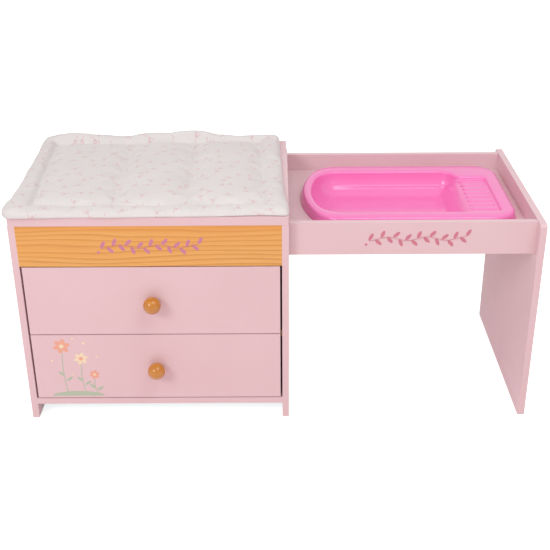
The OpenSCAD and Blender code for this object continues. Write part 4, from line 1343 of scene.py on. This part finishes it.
def drawer_flowers():
    """Three flowers on a green mound, with dots between them, at the drawer's left."""
    node = "lower_drawer_front"
    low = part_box(node)[0]
    corner = Vector((low.x + FLOWERS_CORNER[0] * MM, 0, low.z + FLOWERS_CORNER[1] * MM))
    inks = {"ink_coral": [], "ink_cream": [], "ink_green": []}
    middles = {"ink_coral": [], "ink_cream": []}
    green = inks["ink_green"]
    for (x, z), size, petal_ink, middle_ink in FLOWERS:
        for k in range(PETALS):
            angle = 360 * k / PETALS + PETAL_TURN
            turn = math.radians(angle)
            inks[petal_ink].append(oval(
                x + PETAL_OUT * size * math.cos(turn), z + PETAL_OUT * size * math.sin(turn),
                PETAL_LENGTH * size, PETAL_WIDTH * size, angle))
        middles[middle_ink].append(oval(x, z, MIDDLE_SIZE * size, MIDDLE_SIZE * size, 0))
        green.append(strip((x + 4, 6), (x, z - STEM_END * size), FLOWER_STEM_WIDTH,
                           bow=FLOWER_STEM_BOW))
        for beside, share, angle in FLOWER_LEAVES:
            green.append(oval(x + beside, share * z, FLOWER_LEAF_LENGTH, FLOWER_LEAF_WIDTH, angle))
    mound = [(MOUND_LENGTH * k / MOUND_STEPS + MOUND_START,
              MOUND_EDGE + MOUND_RISE * math.sin(math.pi * k / MOUND_STEPS) ** 0.7)
             for k in range(1, MOUND_STEPS)]
    green.append([(MOUND_START, 0)] + mound + [(MOUND_START + MOUND_LENGTH, 0)])
    for x, z, size in DOTS:
        middles["ink_cream"].append(oval(x, z, size, size, 0))
    for group, shapes, height in (("drawer_flowers_", inks, PETAL_INK_HEIGHT),
                                  ("drawer_middles_", middles, MIDDLE_INK_HEIGHT)):
        for ink, outlines in shapes.items():
            printed(group + ink.removeprefix("ink_"), node, corner, outlines, height, ink)


drawer_flowers()


# Camera, as fitted to the photograph's perspective

CAMERA_PLACE = (0.00725, -1.7228, 1.0716)
CAMERA_PITCH = math.radians(26.6557)
CAMERA_YAW = math.radians(-0.2395)
CAMERA_ROLL = math.radians(-0.3976)
CAMERA_LENS = 64.915
CAMERA_SENSOR = 36.0


def photo_camera():
    """Looks down on the object as the photograph's camera did."""
    ahead = Vector((math.sin(CAMERA_YAW) * math.cos(CAMERA_PITCH),
                    math.cos(CAMERA_YAW) * math.cos(CAMERA_PITCH), -math.sin(CAMERA_PITCH)))
    right = Vector((math.cos(CAMERA_YAW), -math.sin(CAMERA_YAW), 0))
    up = right.cross(ahead)
    turned_right = right * math.cos(CAMERA_ROLL) + up * math.sin(CAMERA_ROLL)
    turned_up = up * math.cos(CAMERA_ROLL) - right * math.sin(CAMERA_ROLL)
    data = bpy.data.cameras.new("camera")
    data.lens = CAMERA_LENS
    data.sensor_width = CAMERA_SENSOR
    camera = bpy.data.objects.new("camera", data)
    axes = Matrix((turned_right, turned_up, -ahead)).transposed()
    camera.matrix_world = Matrix.Translation(CAMERA_PLACE) @ axes.to_4x4()
    bpy.context.scene.collection.objects.link(camera)
    bpy.context.scene.camera = camera


photo_camera()


# Light and floor

def seen_directly(tree):
    """1 for rays that show the background: camera, glossy and transmission rays."""
    path = add_node(tree, "ShaderNodeLightPath")
    seen = math_node(tree, "MAXIMUM", path.outputs["Is Camera Ray"], path.outputs["Is Glossy Ray"])
    return math_node(tree, "MAXIMUM", seen, path.outputs["Is Transmission Ray"])


# The world lights the object a little pink and the lamps a little cyan. The floor is white where it
# is seen, and throws a pink bounce on the object.
WORLD_LEVEL = 0.66
WORLD_TINT = (1.0, 0.89, 0.88, 1.0)
LAMP_TINT = (0.9, 1.0, 1.0)
FLOOR_WHITE = (0.9, 0.9, 0.9, 1.0)
FLOOR_BOUNCE = (0.84, 0.68, 0.69, 1.0)
FLOOR_GLOW = 0.72
FLOOR_GLOW_TINT = (0.86, 1.0, 1.0, 1.0)
FLOOR_REACH = 14
# Each lamp: its place, what it aims at, the length of its sides and its power
LAMPS = {
    "left_lamp": ((-1.6, -2.05, 1.8), (0, 0, 0.25), 0.9, 24),
    "right_lamp": ((1.45, -2.0, 1.4), (0.2, 0, 0.3), 0.9, 1.5),
    "top_lamp": ((0.6, -0.9, 2.1), (0.25, 0, 0.35), 1.0, 12),
}


def white_world():
    """White where it is seen, and a soft slightly pink light on the object."""
    world = bpy.data.worlds.new("white_world")
    bpy.context.scene.world = world
    world.use_nodes = True
    tree = world.node_tree
    seen = seen_directly(tree)
    back = tree.nodes["Background"]
    tree.links.new(mix_colour(tree, seen, WORLD_TINT, WHITE), back.inputs["Color"])
    tree.links.new(map_range(tree, seen, WORLD_LEVEL, 1.0), back.inputs["Strength"])


def white_floor():
    """A wide floor that looks white and keeps the object's shadow."""
    corners = [(x * FLOOR_REACH, y * FLOOR_REACH, 0)
               for x, y in ((-1, -1), (1, -1), (1, 1), (-1, 1))]
    mesh = mesh_of("floor", corners, [(0, 1, 2, 3)])
    material, tree, shader = new_material("floor_white", 0.9)
    seen = seen_directly(tree)
    tree.links.new(mix_colour(tree, seen, FLOOR_BOUNCE, FLOOR_WHITE), shader.inputs["Base Color"])
    shader.inputs["Emission Color"].default_value = FLOOR_GLOW_TINT
    glow = math_node(tree, "MULTIPLY", seen, FLOOR_GLOW)
    tree.links.new(glow, shader.inputs["Emission Strength"])
    floor = link_mesh("floor", mesh, material, smooth=False)


def soft_lamp(name, place, aim, side, power):
    data = bpy.data.lights.new(name, "AREA")
    data.shape = "SQUARE"
    data.size = side
    data.energy = power
    data.color = LAMP_TINT
    lamp = bpy.data.objects.new(name, data)
    lamp.location = place
    lamp.rotation_euler = (Vector(aim) - Vector(place)).to_track_quat("-Z", "Y").to_euler()
    bpy.context.scene.collection.objects.link(lamp)


white_world()
white_floor()
for lamp_name, (place, aim, side, power) in LAMPS.items():
    soft_lamp(lamp_name, place, aim, side, power)

bpy.context.scene.view_settings.view_transform = "Standard"
